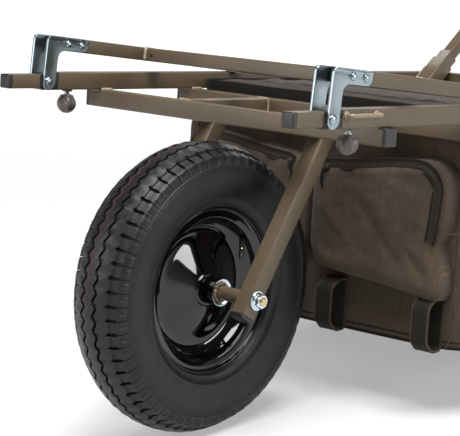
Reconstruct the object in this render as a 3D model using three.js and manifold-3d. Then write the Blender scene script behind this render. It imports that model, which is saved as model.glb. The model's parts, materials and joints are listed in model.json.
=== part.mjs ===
// A single-wheel fishing trolley: one pneumatic wheel in a raked fork, a square-tube frame,
// a sliding front extension with a folding load stop, telescopic handles and rear legs,
// and a bag hung between the side rails.
// Lengths are millimetres. The model is drawn level with its rails, X forward, Y to the left and
// Z up, with the wheel's axle at zero, and is then pitched back until wheel and feet share a floor.

import * as THREE from 'three';
import { mergeVertices } from 'three/addons/utils/BufferGeometryUtils.js';
import Module from 'manifold-3d';

const wasm = await Module();
wasm.setup();

// Shared stock and fits

const outerSide = 25;
const innerSide = 20;
const socketSide = 30;
const slideGap = 0.3;
const seatGap = 0.3;
const innerWall = 1.6;
const outerWall = (outerSide - innerSide) / 2 - slideGap;
const socketWall = (socketSide - outerSide) / 2 - slideGap;
const tubeCorner = 2.4;
const overrun = 5;

// Attitude

const pitch = THREE.MathUtils.degToRad(6);

// Wheel

const tyreRadius = 203;
const tyreWidth = 96;
const treadHalfWidth = 41;
const treadShoulderDrop = 13.4;
const tyreWall = 9;
const beadRadius = 102.5;
const beadHalfWidth = 27;
const grooveDepth = 5;
const grooveWidth = 4;
const shoulderNotches = 24;
const notchDepth = 5;
const notchWidth = 7;
const notchReach = 13;
const flangeRadius = 115;
const flangeHalfWidth = 31;
const rimSheet = 2.4;
const wellRadius = 84;
const hubRadius = 19;
const hubWall = 4;
const rimLap = 0.2;
const hubHalfLength = 51;
const bearingWidth = 12;
const bearingInset = 2;
const valveRadius = 4;
const valveLength = 64;
const valveLean = THREE.MathUtils.degToRad(35);
const valveAngle = THREE.MathUtils.degToRad(-139);
const wheelSteps = 36;
const innerTubeSteps = 24;
const smallSteps = 16;
const fineSteps = 10;

// Axle

const axleDiameter = 12;
const spacerDiameter = 20;
const nutAcrossFlats = 18;
const nutHeight = 11;
const boltHeadHeight = 8;
const boltTip = 7;
const washerDiameter = 27;
const washerThickness = 2;

// Fork

const forkSpread = 204;
const forkRake = THREE.MathUtils.degToRad(59);
const forkTail = 26;

// Frame

const frameWidth = 550;
const crossBarHeight = 224;
const railFront = 44;
const railRear = -900;
const frontBarFace = -39;
const middleBarFace = -232;
const plugHead = 5;
const plugDepth = 10;
const plugChamfer = 1.2;

// Tie loops on the outer faces of the rails

const loopRod = 6;
const loopLength = 66;
const loopReach = 15;
const loopSetback = 3;
const loopRise = 5;
const loopBend = 6;

// Front extension

const extensionFront = 129;
const extensionLength = 330;
const capHead = 7;
const blockLength = 33;
const blockSideWall = 1;
const blockNose = 6;

// Load stop

const pivotAhead = 20;
const stopPlateGap = 0.3;
const plateThickness = 2;
const plateRim = 2;
const plateRimWidth = 2;
const legWidth = 25;
const legRise = 66;
const armLegReach = 69;
const plateFillet = 14;
const plateOuterCorner = 9;
const plateEnd = 9;
const armLength = 382;
const innerBarSetback = 190;
const armRivetFirst = 30;
const armRivetPitch = 26;
const rivetShank = 6;
const rivetHead = 11;
const rivetDome = 3.4;
const pivotHead = 13;
const stopRestGap = 0.4;

// Clamp knobs

const knobDiameter = 29;
const knobHeight = 25;
const knobNeck = 15;
const knobLobes = 6;
const knobLobeDepth = 1.6;
const knobStud = 7;
const studShow = 5;
const bossDiameter = 15;
const bossHeight = 3;
const railKnobSetback = 28;

// Handles

const handleRise = THREE.MathUtils.degToRad(39.5);
const handleInset = 55;
const handleBase = railRear + handleInset;
const socketBelow = 62;
const socketAbove = 26;
const sleeveShow = 22;
const handleLength = 520;
const gripDiameter = 32;
const gripLength = 130;
const gripEndWall = 6;
const gripRibs = 5;
const gripRibDepth = 1.5;
const gripBoreShare = 0.95;
const handleKnobAlong = -34;

// Rear legs

const legInset = 108;
const legStation = railRear + legInset;
const footRadius = 28;
const footThickness = 11;
const footFerrule = 30;
const footWall = 3;

// Bag

const bagFront = -262;
const bagRear = -752;
const bagTop = 266;
const bagShoulder = 216;
const bagBottom = -66;
const bagHalfWidth = 296;
const bagCorner = 34;
const bagTopCorner = 10;
const pocketHalfWidth = 246;
const pocketTop = 196;
const pocketBottom = 8;
const pocketDepth = 40;
const pocketCorner = 45;
const pocketBulge = 14;
const loopWebWidth = 30;
const loopWebThickness = 2.4;
const loopWebDepth = 38;
const loopWebTop = 0;
const loopWebBottom = -78;
const loopWebInner = 48;
const loopWebOuterInset = 74;
const loopWebOuter = bagHalfWidth - loopWebOuterInset;

// Places worked out from the sizes above

const railCentreY = (frameWidth - outerSide) / 2;
const railUnderside = crossBarHeight + outerSide + seatGap;
const railTop = railUnderside + outerSide;
const railCentreZ = (railUnderside + railTop) / 2;
const crossBarCentreZ = crossBarHeight + outerSide / 2;
const pivotX = railFront + pivotAhead;
const railKnobX = railFront - railKnobSetback;
const sides = [
  { name: 'left', sign: 1 },
  { name: 'right', sign: -1 },
];

// Materials

function finish(color, roughness, metalness) {
  return new THREE.MeshStandardMaterial({ color, roughness, metalness });
}

const finishes = {
  paint: finish(0x6a5d4c, 0.55, 0.2),
  zinc: finish(0xc9cfd2, 0.3, 0.9),
  rubber: finish(0x232325, 0.85, 0),
  gloss: finish(0x0b0b0c, 0.15, 0.3),
  nylon: finish(0x1b1b1d, 0.6, 0),
  knob: finish(0x5b524a, 0.55, 0),
  fabric: finish(0x4a3d34, 0.95, 0),
  webbing: finish(0x3c372b, 0.95, 0),
};

// Building helpers

function namedMesh(name, geometry, material) {
  const mesh = new THREE.Mesh(geometry, material);
  mesh.name = name;
  return mesh;
}

function solidOf(geometry) {
  const bare = geometry.clone();
  bare.deleteAttribute('normal');
  bare.deleteAttribute('uv');
  const merged = mergeVertices(bare, 1e-4);
  return new wasm.Manifold(new wasm.Mesh({
    numProp: 3,
    vertProperties: merged.attributes.position.array,
    triVerts: merged.index.array,
  }));
}

function geometryOf(solid) {
  const mesh = solid.getMesh();
  const geometry = new THREE.BufferGeometry();
  geometry.setAttribute('position', new THREE.BufferAttribute(mesh.vertProperties, 3));
  geometry.setIndex(new THREE.BufferAttribute(mesh.triVerts, 1));
  geometry.computeVertexNormals();
  return geometry;
}

function joined(geometries) {
  return geometryOf(geometries.map(solidOf).reduce((sum, next) => sum.add(next)));
}

function cut(geometry, tools) {
  return geometryOf(tools.map(solidOf).reduce((rest, tool) => rest.subtract(tool), solidOf(geometry)));
}

function moved(geometry, x, y, z) {
  return geometry.clone().translate(x, y, z);
}

function roundedRectangle(Kind, width, height, corner) {
  const path = new Kind();
  const x = width / 2 - corner;
  const y = height / 2 - corner;
  path.absarc(x, y, corner, 0, Math.PI / 2);
  path.absarc(-x, y, corner, Math.PI / 2, Math.PI);
  path.absarc(-x, -y, corner, Math.PI, 1.5 * Math.PI);
  path.absarc(x, -y, corner, 1.5 * Math.PI, 2 * Math.PI);
  path.closePath();
  return path;
}

function extruded(shape, depth, curveSegments = 1) {
  return new THREE.ExtrudeGeometry(shape, { depth, bevelEnabled: false, curveSegments });
}

// A square tube along +Z from zero.
function squareTube(side, wall, length, corner = tubeCorner) {
  const shape = roundedRectangle(THREE.Shape, side, side, corner);
  const boreSide = side - 2 * wall;
  const boreCorner = Math.min(corner, boreSide / 4) / 2;
  shape.holes.push(roundedRectangle(THREE.Path, boreSide, boreSide, boreCorner));
  return extruded(shape, length);
}

// Moves each point of a tube's end along the tube, so that the end lies on a slanted plane.
function slantEnd(geometry, belongsToEnd, slide) {
  const places = geometry.attributes.position;
  const point = new THREE.Vector3();
  for (let i = 0; i < places.count; i += 1) {
    point.fromBufferAttribute(places, i);
    if (belongsToEnd(point)) {
      slide(point);
      places.setXYZ(i, point.x, point.y, point.z);
    }
  }
  geometry.computeVertexNormals();
  return geometry;
}

// A lathe about Z. The profile is a closed loop of [radius, height] pairs, or starts and ends on the axis.
function turned(profile, steps) {
  const points = profile.map(([radius, height]) => new THREE.Vector2(radius, height));
  if (THREE.ShapeUtils.area(points) < 0) {
    points.reverse();
  }
  if (profile[0][0] > 0) {
    points.push(points[0].clone());
  }
  return new THREE.LatheGeometry(points, steps).rotateX(Math.PI / 2);
}

function alongY(geometry) {
  return geometry.rotateX(-Math.PI / 2);
}

function alongX(geometry) {
  return geometry.rotateY(Math.PI / 2);
}

function disc(diameter, height, steps = smallSteps) {
  return new THREE.CylinderGeometry(diameter / 2, diameter / 2, height, steps)
    .rotateX(Math.PI / 2)
    .translate(0, 0, height / 2);
}

function ring(outer, inner, height, steps = smallSteps) {
  return turned([
    [inner / 2, 0],
    [outer / 2, 0],
    [outer / 2, height],
    [inner / 2, height],
  ], steps);
}

// Wheel, turned about Z and later laid along Y

function treadRadiusAt(width) {
  const share = width / treadHalfWidth;
  return tyreRadius - treadShoulderDrop * share * share;
}

function tyreOutline() {
  const grooveShares = [-0.56, 0, 0.56];
  const outline = [[treadRadiusAt(-treadHalfWidth), -treadHalfWidth]];
  for (const share of grooveShares) {
    const middle = share * treadHalfWidth;
    const near = middle - grooveWidth / 2;
    const far = middle + grooveWidth / 2;
    outline.push([treadRadiusAt(near), near]);
    outline.push([treadRadiusAt(middle) - grooveDepth, middle]);
    outline.push([treadRadiusAt(far), far]);
  }
  outline.push([treadRadiusAt(treadHalfWidth), treadHalfWidth]);
  const sideShares = [
    [0.86, 0.955],
    [0.62, 1],
    [0.36, 0.96],
    [0.14, 0.83],
  ];
  const height = treadRadiusAt(treadHalfWidth) - beadRadius;
  const half = tyreWidth / 2;
  for (const [rise, width] of sideShares) {
    outline.push([beadRadius + rise * height, width * half]);
  }
  outline.push([flangeRadius + seatGap, flangeHalfWidth + seatGap]);
  outline.push([flangeRadius - rimSheet, beadHalfWidth]);
  outline.push([beadRadius, beadHalfWidth - rimSheet]);
  outline.push([beadRadius, beadHalfWidth - tyreWall]);
  for (const [rise, width] of sideShares.slice(0, 3).reverse()) {
    outline.push([beadRadius + rise * height, width * half - tyreWall]);
  }
  outline.push([treadRadiusAt(0) - tyreWall - grooveDepth, 0]);
  const inner = outline.slice(-4, -1).reverse();
  for (const [radius, width] of inner) {
    outline.push([radius, -width]);
  }
  outline.push([beadRadius, -(beadHalfWidth - tyreWall)]);
  outline.push([beadRadius, -(beadHalfWidth - rimSheet)]);
  outline.push([flangeRadius - rimSheet, -beadHalfWidth]);
  outline.push([flangeRadius + seatGap, -(flangeHalfWidth + seatGap)]);
  for (const [rise, width] of sideShares.slice().reverse()) {
    outline.push([beadRadius + rise * height, -width * half]);
  }
  return outline;
}

function shoulderNotchTools() {
  const tools = [];
  const radius = treadRadiusAt(treadHalfWidth);
  for (const side of [-1, 1]) {
    for (let i = 0; i < shoulderNotches; i += 1) {
      const tool = new THREE.BoxGeometry(notchReach, notchWidth, notchDepth + overrun);
      const middle = tyreWidth / 2 - notchDepth + (notchDepth + overrun) / 2;
      const stagger = side > 0 ? 0 : 0.5;
      tool.translate(radius - notchReach / 2, 0, side * middle);
      tool.rotateZ((2 * Math.PI * (i + stagger)) / shoulderNotches);
      tools.push(tool);
    }
  }
  return tools;
}

function tyreGeometry() {
  return cut(turned(tyreOutline(), wheelSteps), shoulderNotchTools());
}

function innerTubeGeometry() {
  const height = treadRadiusAt(0) - tyreWall - grooveDepth - beadRadius;
  const middle = beadRadius + height / 2;
  const radialShare = 0.4;
  const widthShare = 0.58;
  const steps = 8;
  const profile = [];
  for (let i = 0; i < steps; i += 1) {
    const angle = (2 * Math.PI * i) / steps;
    profile.push([
      middle + height * radialShare * Math.cos(angle),
      (tyreWidth / 2) * widthShare * Math.sin(angle),
    ]);
  }
  return turned(profile, innerTubeSteps);
}

// One pressed half of the rim: flange, bead seat, well and the cone that runs out to the hub.
function rimHalfProfile() {
  const seat = beadRadius - seatGap;
  const insideHub = hubRadius + seatGap;
  const coneTop = hubHalfLength * 0.72;
  return [
    [flangeRadius, flangeHalfWidth],
    [flangeRadius - rimSheet, beadHalfWidth + seatGap],
    [seat, beadHalfWidth - rimSheet],
    [seat - rimSheet / 2, beadHalfWidth * 0.5],
    [wellRadius, -rimLap],
    [wellRadius * 0.88, -rimLap],
    [wellRadius * 0.5, coneTop * 0.5],
    [insideHub, coneTop],
    [insideHub, coneTop + rimSheet],
    [wellRadius * 0.5, coneTop * 0.5 + rimSheet * 1.3],
    [wellRadius * 0.86, rimSheet],
    [wellRadius - rimSheet, rimSheet],
    [seat - rimSheet * 1.6, beadHalfWidth * 0.5],
    [seat - rimSheet, beadHalfWidth],
    [flangeRadius - rimSheet, beadHalfWidth + rimSheet * 1.3],
    [flangeRadius, flangeHalfWidth + rimSheet],
  ];
}

function rimGeometry() {
  const half = turned(rimHalfProfile(), wheelSteps);
  const welded = joined([half, half.clone().rotateX(Math.PI)]);
  const hole = disc(2 * (valveRadius + seatGap), valveLength - seatGap, fineSteps);
  return cut(welded, [hole.applyMatrix4(valvePlace())]);
}

// Two bearings with the tube that keeps their inner races apart.
function bearingSetGeometry() {
  const outer = hubRadius - hubWall - seatGap;
  const inner = axleDiameter / 2 + slideGap;
  const end = hubHalfLength - bearingInset;
  const raceShare = 0.28;
  const race = inner + (outer - inner) * raceShare;
  const face = bearingWidth / 8;
  return turned([
    [inner, -end],
    [race, -end],
    [race, -end + face],
    [outer - (race - inner), -end + face],
    [outer - (race - inner), -end],
    [outer, -end],
    [outer, -end + bearingWidth],
    [race, -end + bearingWidth],
    [race, end - bearingWidth],
    [outer, end - bearingWidth],
    [outer, end],
    [outer - (race - inner), end],
    [outer - (race - inner), end - face],
    [race, end - face],
    [race, end],
    [inner, end],
  ], smallSteps);
}

function valveGeometry() {
  return turned([
    [0, 0],
    [valveRadius, 0],
    [valveRadius, valveLength * 0.72],
    [valveRadius * 0.75, valveLength * 0.74],
    [valveRadius * 0.75, valveLength],
    [0, valveLength],
  ], fineSteps);
}

// The stem starts inside the air tube, passes beside the tyre's bead and leans out of the left dish.
function valvePlace() {
  const inward = new THREE.Vector3(-Math.cos(valveLean), 0, Math.sin(valveLean));
  const passWidth = beadHalfWidth - tyreWall - valveRadius / Math.cos(valveLean) - 2 * seatGap;
  const start = new THREE.Vector3(beadRadius, 0, passWidth).addScaledVector(inward, -tyreWall * 2);
  const turn = new THREE.Quaternion().setFromUnitVectors(new THREE.Vector3(0, 0, 1), inward);
  const place = new THREE.Matrix4().compose(start, turn, new THREE.Vector3(1, 1, 1));
  return new THREE.Matrix4().makeRotationZ(valveAngle).multiply(place);
}

function wheelParts() {
  const wheel = new THREE.Group();
  wheel.add(namedMesh('tyre', alongY(tyreGeometry()), finishes.rubber));
  const airTube = joined([innerTubeGeometry(), valveGeometry().applyMatrix4(valvePlace())]);
  wheel.add(namedMesh('inner_tube', alongY(airTube), finishes.rubber));
  wheel.add(namedMesh('wheel_rim', alongY(rimGeometry()), finishes.gloss));
  const hub = ring(2 * hubRadius, 2 * (hubRadius - hubWall), 2 * hubHalfLength, wheelSteps / 2);
  wheel.add(namedMesh('hub_tube', alongY(moved(hub, 0, 0, -hubHalfLength)), finishes.gloss));
  wheel.add(namedMesh('hub_bearings', alongY(bearingSetGeometry()), finishes.zinc));
  return wheel;
}

// Axle hardware, along Y

const forkOuterY = forkSpread / 2 + outerSide / 2;
const forkInnerY = forkSpread / 2 - outerSide / 2;
const boltStart = -(forkOuterY + seatGap);
const boltEnd = forkOuterY + seatGap + nutHeight + boltTip;

function hexagon(acrossFlats, height) {
  const radius = acrossFlats / 2 / Math.cos(Math.PI / 6);
  return new THREE.CylinderGeometry(radius, radius, height, 6)
    .rotateX(Math.PI / 2)
    .translate(0, 0, height / 2);
}

function axleBoltGeometry() {
  const shankStart = boltStart - boltHeadHeight / 2;
  const shank = moved(disc(axleDiameter, boltEnd - shankStart), 0, 0, shankStart);
  const washer = moved(disc(washerDiameter, washerThickness), 0, 0, boltStart - washerThickness);
  const head = moved(hexagon(nutAcrossFlats, boltHeadHeight), 0, 0, boltStart - boltHeadHeight);
  return joined([shank, washer, head]);
}

// The nut with the washer captive on it.
function nutGeometry() {
  const washer = disc(washerDiameter, washerThickness);
  const flange = disc(nutAcrossFlats * 1.25, washerThickness * 1.7);
  const body = hexagon(nutAcrossFlats, nutHeight);
  return cut(joined([washer, flange, body]), [
    moved(disc(axleDiameter + 2 * seatGap, nutHeight + 2 * overrun), 0, 0, -overrun),
  ]);
}

function axleParts() {
  const axle = new THREE.Group();
  axle.add(namedMesh('axle_bolt', alongY(axleBoltGeometry()), finishes.zinc));
  const nut = moved(nutGeometry(), 0, 0, forkOuterY + seatGap);
  axle.add(namedMesh('axle_nut', alongY(nut), finishes.zinc));
  const start = hubHalfLength - bearingInset + seatGap;
  const spacer = ring(spacerDiameter, axleDiameter + 2 * seatGap, forkInnerY - seatGap - start);
  const left = moved(spacer, 0, 0, start);
  axle.add(namedMesh('axle_spacer_left', alongY(left.clone()), finishes.paint));
  axle.add(namedMesh('axle_spacer_right', alongY(left.clone().rotateX(Math.PI)), finishes.paint));
  return axle;
}

// Fork legs rise rearward from below the axle to the bridge tubes.

function forkLegGeometry() {
  const lean = forkRake - Math.PI / 2;
  const reach = (crossBarHeight - seatGap) / Math.cos(lean);
  const tube = squareTube(outerSide, outerWall, forkTail + reach).translate(0, 0, -forkTail);
  slantEnd(tube, (point) => point.z > 0, (point) => {
    point.z += point.x * Math.tan(lean);
  });
  const hole = disc(axleDiameter + 2 * seatGap, outerSide + 2 * overrun);
  hole.translate(0, 0, -(outerSide / 2 + overrun)).rotateX(Math.PI / 2);
  return cut(tube, [hole]);
}

function forkParts() {
  const fork = new THREE.Group();
  for (const { name, sign } of sides) {
    const leaning = new THREE.Group();
    leaning.position.y = (sign * forkSpread) / 2;
    leaning.rotation.y = forkRake - Math.PI / 2;
    leaning.add(namedMesh(`fork_leg_${name}`, forkLegGeometry(), finishes.paint));
    const plug = plugGeometry(outerSide, outerWall, plugHead).translate(0, 0, -forkTail);
    leaning.add(namedMesh(`fork_plug_${name}`, plug, finishes.nylon));
    fork.add(leaning);
  }
  return fork;
}

// A plug for an open tube end. The head faces -Z and the stem goes up into the tube.
function plugGeometry(side, wall, head) {
  const stemSide = side - 2 * wall - 2 * seatGap;
  const headSide = side - 2 * plugChamfer;
  const headShape = roundedRectangle(THREE.Shape, headSide, headSide, tubeCorner);
  const headSolid = new THREE.ExtrudeGeometry(headShape, {
    depth: head - 2 * plugChamfer,
    bevelThickness: plugChamfer,
    bevelSize: plugChamfer,
    bevelSegments: 1,
    curveSegments: 1,
  }).translate(0, 0, plugChamfer - head - seatGap);
  const stemShape = roundedRectangle(THREE.Shape, stemSide, stemSide, tubeCorner / 2);
  const stem = extruded(stemShape, plugDepth + seatGap + head / 2);
  return joined([headSolid, stem.translate(0, 0, -seatGap - head / 2)]);
}

// Frame tubes

function crossBar(name, faceX) {
  const bar = new THREE.Group();
  bar.position.set(faceX - outerSide / 2, 0, crossBarCentreZ);
  const tube = alongY(squareTube(outerSide, outerWall, frameWidth).translate(0, 0, -frameWidth / 2));
  bar.add(namedMesh(`${name}_cross_bar`, tube, finishes.paint));
  for (const side of sides) {
    const plug = plugGeometry(outerSide, outerWall, plugHead).rotateX((side.sign * Math.PI) / 2);
    plug.translate(0, (side.sign * frameWidth) / 2, 0);
    bar.add(namedMesh(`${name}_bar_plug_${side.name}`, plug, finishes.nylon));
  }
  return bar;
}

// The rear bar is mitred into the rails.
function rearBarGeometry() {
  const bar = alongY(squareTube(outerSide, outerWall, frameWidth).translate(0, 0, -frameWidth / 2));
  bar.translate(railRear + outerSide / 2, 0, railCentreZ);
  return slantEnd(bar, () => true, (point) => {
    point.y -= Math.sign(point.y) * (point.x - railRear + seatGap);
  });
}

// A rail is mitred at the rear, and its clamp screw's boss is welded under its front.
function railGeometry(sign) {
  const tube = alongX(squareTube(outerSide, outerWall, railFront - railRear)).translate(railRear, 0, 0);
  slantEnd(tube, (point) => point.x < 0, (point) => {
    point.x += outerSide / 2 - sign * point.y + seatGap;
  });
  const boss = disc(bossDiameter, bossHeight + outerWall / 2, 16);
  boss.translate(railKnobX, 0, -(outerSide / 2 + bossHeight));
  const hole = disc(knobStud + 2 * seatGap, bossHeight + outerWall + 2 * overrun, fineSteps);
  hole.translate(railKnobX, 0, -(outerSide / 2 + bossHeight + overrun));
  return cut(joined([tube, boss]), [hole]);
}

function bridgeGeometry() {
  const length = frontBarFace - outerSide - middleBarFace - 2 * seatGap;
  return alongX(squareTube(outerSide, outerWall, length)).translate(middleBarFace + seatGap, 0, 0);
}

// A bent rod that stands off the rail with its two feet on the outer face.
function tieLoopGeometry(sign) {
  const face = frameWidth / 2 + seatGap;
  const out = face + loopReach - loopRod / 2;
  const front = railFront - loopSetback - loopRod / 2;
  const rear = front - loopLength + loopRod;
  const path = new THREE.CurvePath();
  const corners = [
    new THREE.Vector3(front, sign * face, 0),
    new THREE.Vector3(front, sign * out, 0),
    new THREE.Vector3(rear, sign * out, 0),
    new THREE.Vector3(rear, sign * face, 0),
  ];
  const firstTurn = corners[1].clone().setY(sign * (out - loopBend));
  const firstLeave = corners[1].clone().setX(front - loopBend);
  const lastTurn = corners[2].clone().setX(rear + loopBend);
  const lastLeave = corners[2].clone().setY(sign * (out - loopBend));
  path.add(new THREE.LineCurve3(corners[0], firstTurn));
  path.add(new THREE.QuadraticBezierCurve3(firstTurn, corners[1], firstLeave));
  path.add(new THREE.LineCurve3(firstLeave, lastTurn));
  path.add(new THREE.QuadraticBezierCurve3(lastTurn, corners[2], lastLeave));
  path.add(new THREE.LineCurve3(lastLeave, corners[3]));
  const section = new THREE.Shape();
  section.absarc(0, 0, loopRod / 2, 0, 2 * Math.PI);
  return new THREE.ExtrudeGeometry(section, { steps: 16, curveSegments: 3, extrudePath: path })
    .translate(0, 0, railCentreZ + loopRise);
}

function frameParts() {
  const frame = new THREE.Group();
  frame.add(crossBar('front', frontBarFace));
  frame.add(crossBar('middle', middleBarFace));
  frame.add(namedMesh('rear_cross_bar', rearBarGeometry(), finishes.paint));
  for (const { name, sign } of sides) {
    const rail = namedMesh(`side_rail_${name}`, railGeometry(sign), finishes.paint);
    rail.position.set(0, sign * railCentreY, railCentreZ);
    frame.add(rail);
    const bridge = namedMesh(`bridge_tube_${name}`, bridgeGeometry(), finishes.paint);
    bridge.position.set(0, (sign * forkSpread) / 2, crossBarCentreZ);
    frame.add(bridge);
    frame.add(namedMesh(`tie_loop_${name}`, tieLoopGeometry(sign), finishes.paint));
  }
  return frame;
}

// Front extension: inner tubes with caps, and the blocks that carry the load stop's pivot

function extensionTubeGeometry() {
  const rear = extensionFront - extensionLength;
  const tube = alongX(squareTube(innerSide, innerWall, extensionLength, tubeCorner * 0.8));
  tube.translate(rear, 0, 0);
  const hole = disc(rivetShank + 2 * seatGap, innerSide + 2 * overrun);
  hole.translate(0, 0, -(innerSide / 2 + overrun)).rotateX(Math.PI / 2);
  return cut(tube, [hole.translate(pivotX, 0, 0)]);
}

function pivotBlockGeometry() {
  const bore = innerSide + 2 * seatGap;
  const width = bore + 2 * blockSideWall;
  const front = railFront + seatGap + blockLength;
  const body = new THREE.BoxGeometry(blockLength, width, outerSide);
  body.translate(front - blockLength / 2, 0, 0);
  const passage = new THREE.BoxGeometry(blockLength + 2 * overrun, bore, bore);
  passage.translate(front - blockLength / 2, 0, 0);
  const drop = (outerSide - bore) / 2;
  const nose = [1, -1].map((side) => {
    const wedge = new THREE.Shape([
      new THREE.Vector2(front - blockNose, (side * outerSide) / 2),
      new THREE.Vector2(front + overrun, side * (outerSide / 2 - drop - overrun * (drop / blockNose))),
      new THREE.Vector2(front + overrun, side * (outerSide / 2 + overrun)),
      new THREE.Vector2(front - blockNose, side * (outerSide / 2 + overrun)),
    ]);
    return extruded(wedge, width + 2 * overrun).rotateX(Math.PI / 2).translate(0, width / 2 + overrun, 0);
  });
  const hole = disc(rivetShank + 2 * seatGap, width + 2 * overrun);
  hole.translate(0, 0, -(width / 2 + overrun)).rotateX(Math.PI / 2);
  return cut(body, [passage, ...nose, hole.translate(pivotX, 0, 0)]);
}

function extensionParts() {
  const extension = new THREE.Group();
  for (const { name, sign } of sides) {
    const side = new THREE.Group();
    side.position.set(0, sign * railCentreY, railCentreZ);
    side.add(namedMesh(`extension_tube_${name}`, extensionTubeGeometry(), finishes.paint));
    const cap = plugGeometry(innerSide, innerWall, capHead).rotateY(-Math.PI / 2);
    side.add(namedMesh(`extension_cap_${name}`, cap.translate(extensionFront, 0, 0), finishes.nylon));
    side.add(namedMesh(`pivot_block_${name}`, pivotBlockGeometry(), finishes.nylon));
    extension.add(side);
  }
  return extension;
}

// Load stop, drawn about its pivot with the arms level, then folded back onto the rails

const plateInner = (innerSide + 2 * seatGap + 2 * blockSideWall) / 2 + stopPlateGap;
const plateOuter = plateInner + plateThickness;
const armCentre = legRise - innerSide / 2;
// Upright, the plugged ends of the arms stand on the extension tubes.
const armSetback = innerSide / 2 + stopRestGap + plugHead + seatGap;
const armRear = -(armSetback + armLength);
const rivetPlaces = [armRivetFirst, armRivetFirst + armRivetPitch];
const stopFold = foldAngle();

// The folded arms' rear corner comes down onto the rails' tops.
function foldAngle() {
  const clearHeight = railTop + stopRestGap - railCentreZ;
  const reach = Math.hypot(armRear, legRise - innerSide);
  const rearCorner = Math.atan2(legRise - innerSide, -armRear);
  return rearCorner - Math.asin(clearHeight / reach);
}

function plateOutline(inset) {
  const shape = new THREE.Shape();
  const half = legWidth / 2 - inset;
  const top = legRise - inset;
  const under = legRise - innerSide + inset;
  const end = Math.max(plateEnd - inset, plateRimWidth);
  const outer = Math.max(plateOuterCorner - inset, plateRimWidth);
  const rear = -(armLegReach - inset);
  shape.absarc(0, 0, half, Math.PI, 2 * Math.PI);
  shape.lineTo(half, top - outer);
  shape.absarc(half - outer, top - outer, outer, 0, Math.PI / 2);
  shape.lineTo(rear + end, top);
  shape.absarc(rear + end, top - end, end, Math.PI / 2, Math.PI);
  shape.absarc(rear + end, under + end, end, Math.PI, 1.5 * Math.PI);
  shape.lineTo(-half - plateFillet, under);
  shape.absarc(-half - plateFillet, under - plateFillet, plateFillet, Math.PI / 2, 0, true);
  shape.closePath();
  return shape;
}

// An L-shaped plate in the XZ plane, pressed with a raised rim round its front and top.
function plateGeometry(sign) {
  const curveSteps = 3;
  const raised = plateThickness + plateRim;
  const sheet = extruded(plateOutline(0), plateThickness, curveSteps);
  const wall = extruded(plateOutline(0), raised, curveSteps);
  const pocket = extruded(plateOutline(plateRimWidth), 2 * raised, curveSteps);
  pocket.translate(0, 0, plateThickness / 2);
  const span = 2 * (armLegReach + legRise);
  const open = new THREE.BoxGeometry(span, span, 2 * raised);
  open.translate(
    legWidth / 2 - plateRimWidth - span / 2,
    legRise - plateRimWidth - span / 2,
    plateThickness / 2 + raised,
  );
  const plate = joined([sheet, cut(wall, [pocket, open])]).rotateX(Math.PI / 2);
  if (sign > 0) {
    plate.scale(1, -1, 1);
    flipFaces(plate);
  }
  return plate.translate(0, sign * plateInner, 0);
}

function flipFaces(geometry) {
  const order = geometry.index.array;
  for (let i = 0; i < order.length; i += 3) {
    [order[i], order[i + 1]] = [order[i + 1], order[i]];
  }
  geometry.computeVertexNormals();
}

// A shank along Y with a domed head on the outside of each plate.
function rivetGeometry(head) {
  const steps = 2;
  const profile = [[0, -plateOuter - rivetDome]];
  for (let i = 1; i <= steps; i += 1) {
    const angle = (Math.PI / 2) * (i / steps);
    profile.push([(head / 2) * Math.sin(angle), -plateOuter - rivetDome * Math.cos(angle)]);
  }
  profile.push([rivetShank / 2, -plateOuter]);
  const mirrored = profile.slice().reverse().map(([radius, height]) => [radius, -height]);
  return alongY(turned([...profile, ...mirrored], fineSteps));
}

// Two plates held by two rivets through the arm and one pin through the pivot block.
function platePairGeometry() {
  const rivets = rivetPlaces.map((back) => rivetGeometry(rivetHead).translate(-back, 0, armCentre));
  return joined([plateGeometry(1), plateGeometry(-1), rivetGeometry(pivotHead), ...rivets]);
}

function stopArmGeometry(sign) {
  const tube = alongX(squareTube(innerSide, innerWall, armLength, tubeCorner * 0.8));
  tube.translate(armRear, 0, armCentre);
  slantEnd(tube, (point) => point.x < armRear / 2, (point) => {
    point.x += innerSide / 2 - sign * point.y + seatGap;
  });
  const holes = rivetPlaces.map((back) => {
    const hole = disc(rivetShank + 2 * seatGap, innerSide + 2 * overrun, fineSteps);
    hole.translate(0, 0, -(innerSide / 2 + overrun)).rotateX(Math.PI / 2);
    return hole.translate(-back, 0, armCentre);
  });
  return cut(tube, holes);
}

function stopInnerBarGeometry() {
  const length = 2 * (railCentreY - innerSide / 2 - seatGap);
  const bar = squareTube(innerSide, innerWall, length, tubeCorner * 0.8).translate(0, 0, -length / 2);
  return alongY(bar).translate(-innerBarSetback - innerSide / 2, 0, armCentre);
}

// The end bar is mitred into the arms.
function stopEndBarGeometry() {
  const length = 2 * railCentreY + innerSide;
  const bar = squareTube(innerSide, innerWall, length, tubeCorner * 0.8).translate(0, 0, -length / 2);
  alongY(bar).translate(armRear + innerSide / 2, 0, armCentre);
  return slantEnd(bar, () => true, (point) => {
    point.y -= Math.sign(point.y) * (point.x - armRear + seatGap);
  });
}

function loadStopParts() {
  const stop = new THREE.Group();
  stop.position.set(pivotX, 0, railCentreZ);
  stop.rotation.y = -stopFold;
  for (const { name, sign } of sides) {
    const side = new THREE.Group();
    side.position.y = sign * railCentreY;
    side.add(namedMesh(`stop_arm_${name}`, stopArmGeometry(sign), finishes.paint));
    side.add(namedMesh(`stop_plates_${name}`, platePairGeometry(), finishes.zinc));
    const plug = plugGeometry(innerSide, innerWall, plugHead).rotateY(-Math.PI / 2);
    side.add(namedMesh(`arm_plug_${name}`, plug.translate(-armSetback, 0, armCentre), finishes.nylon));
    stop.add(side);
  }
  stop.add(namedMesh('stop_inner_bar', stopInnerBarGeometry(), finishes.paint));
  stop.add(namedMesh('stop_end_bar', stopEndBarGeometry(), finishes.paint));
  return stop;
}

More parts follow.
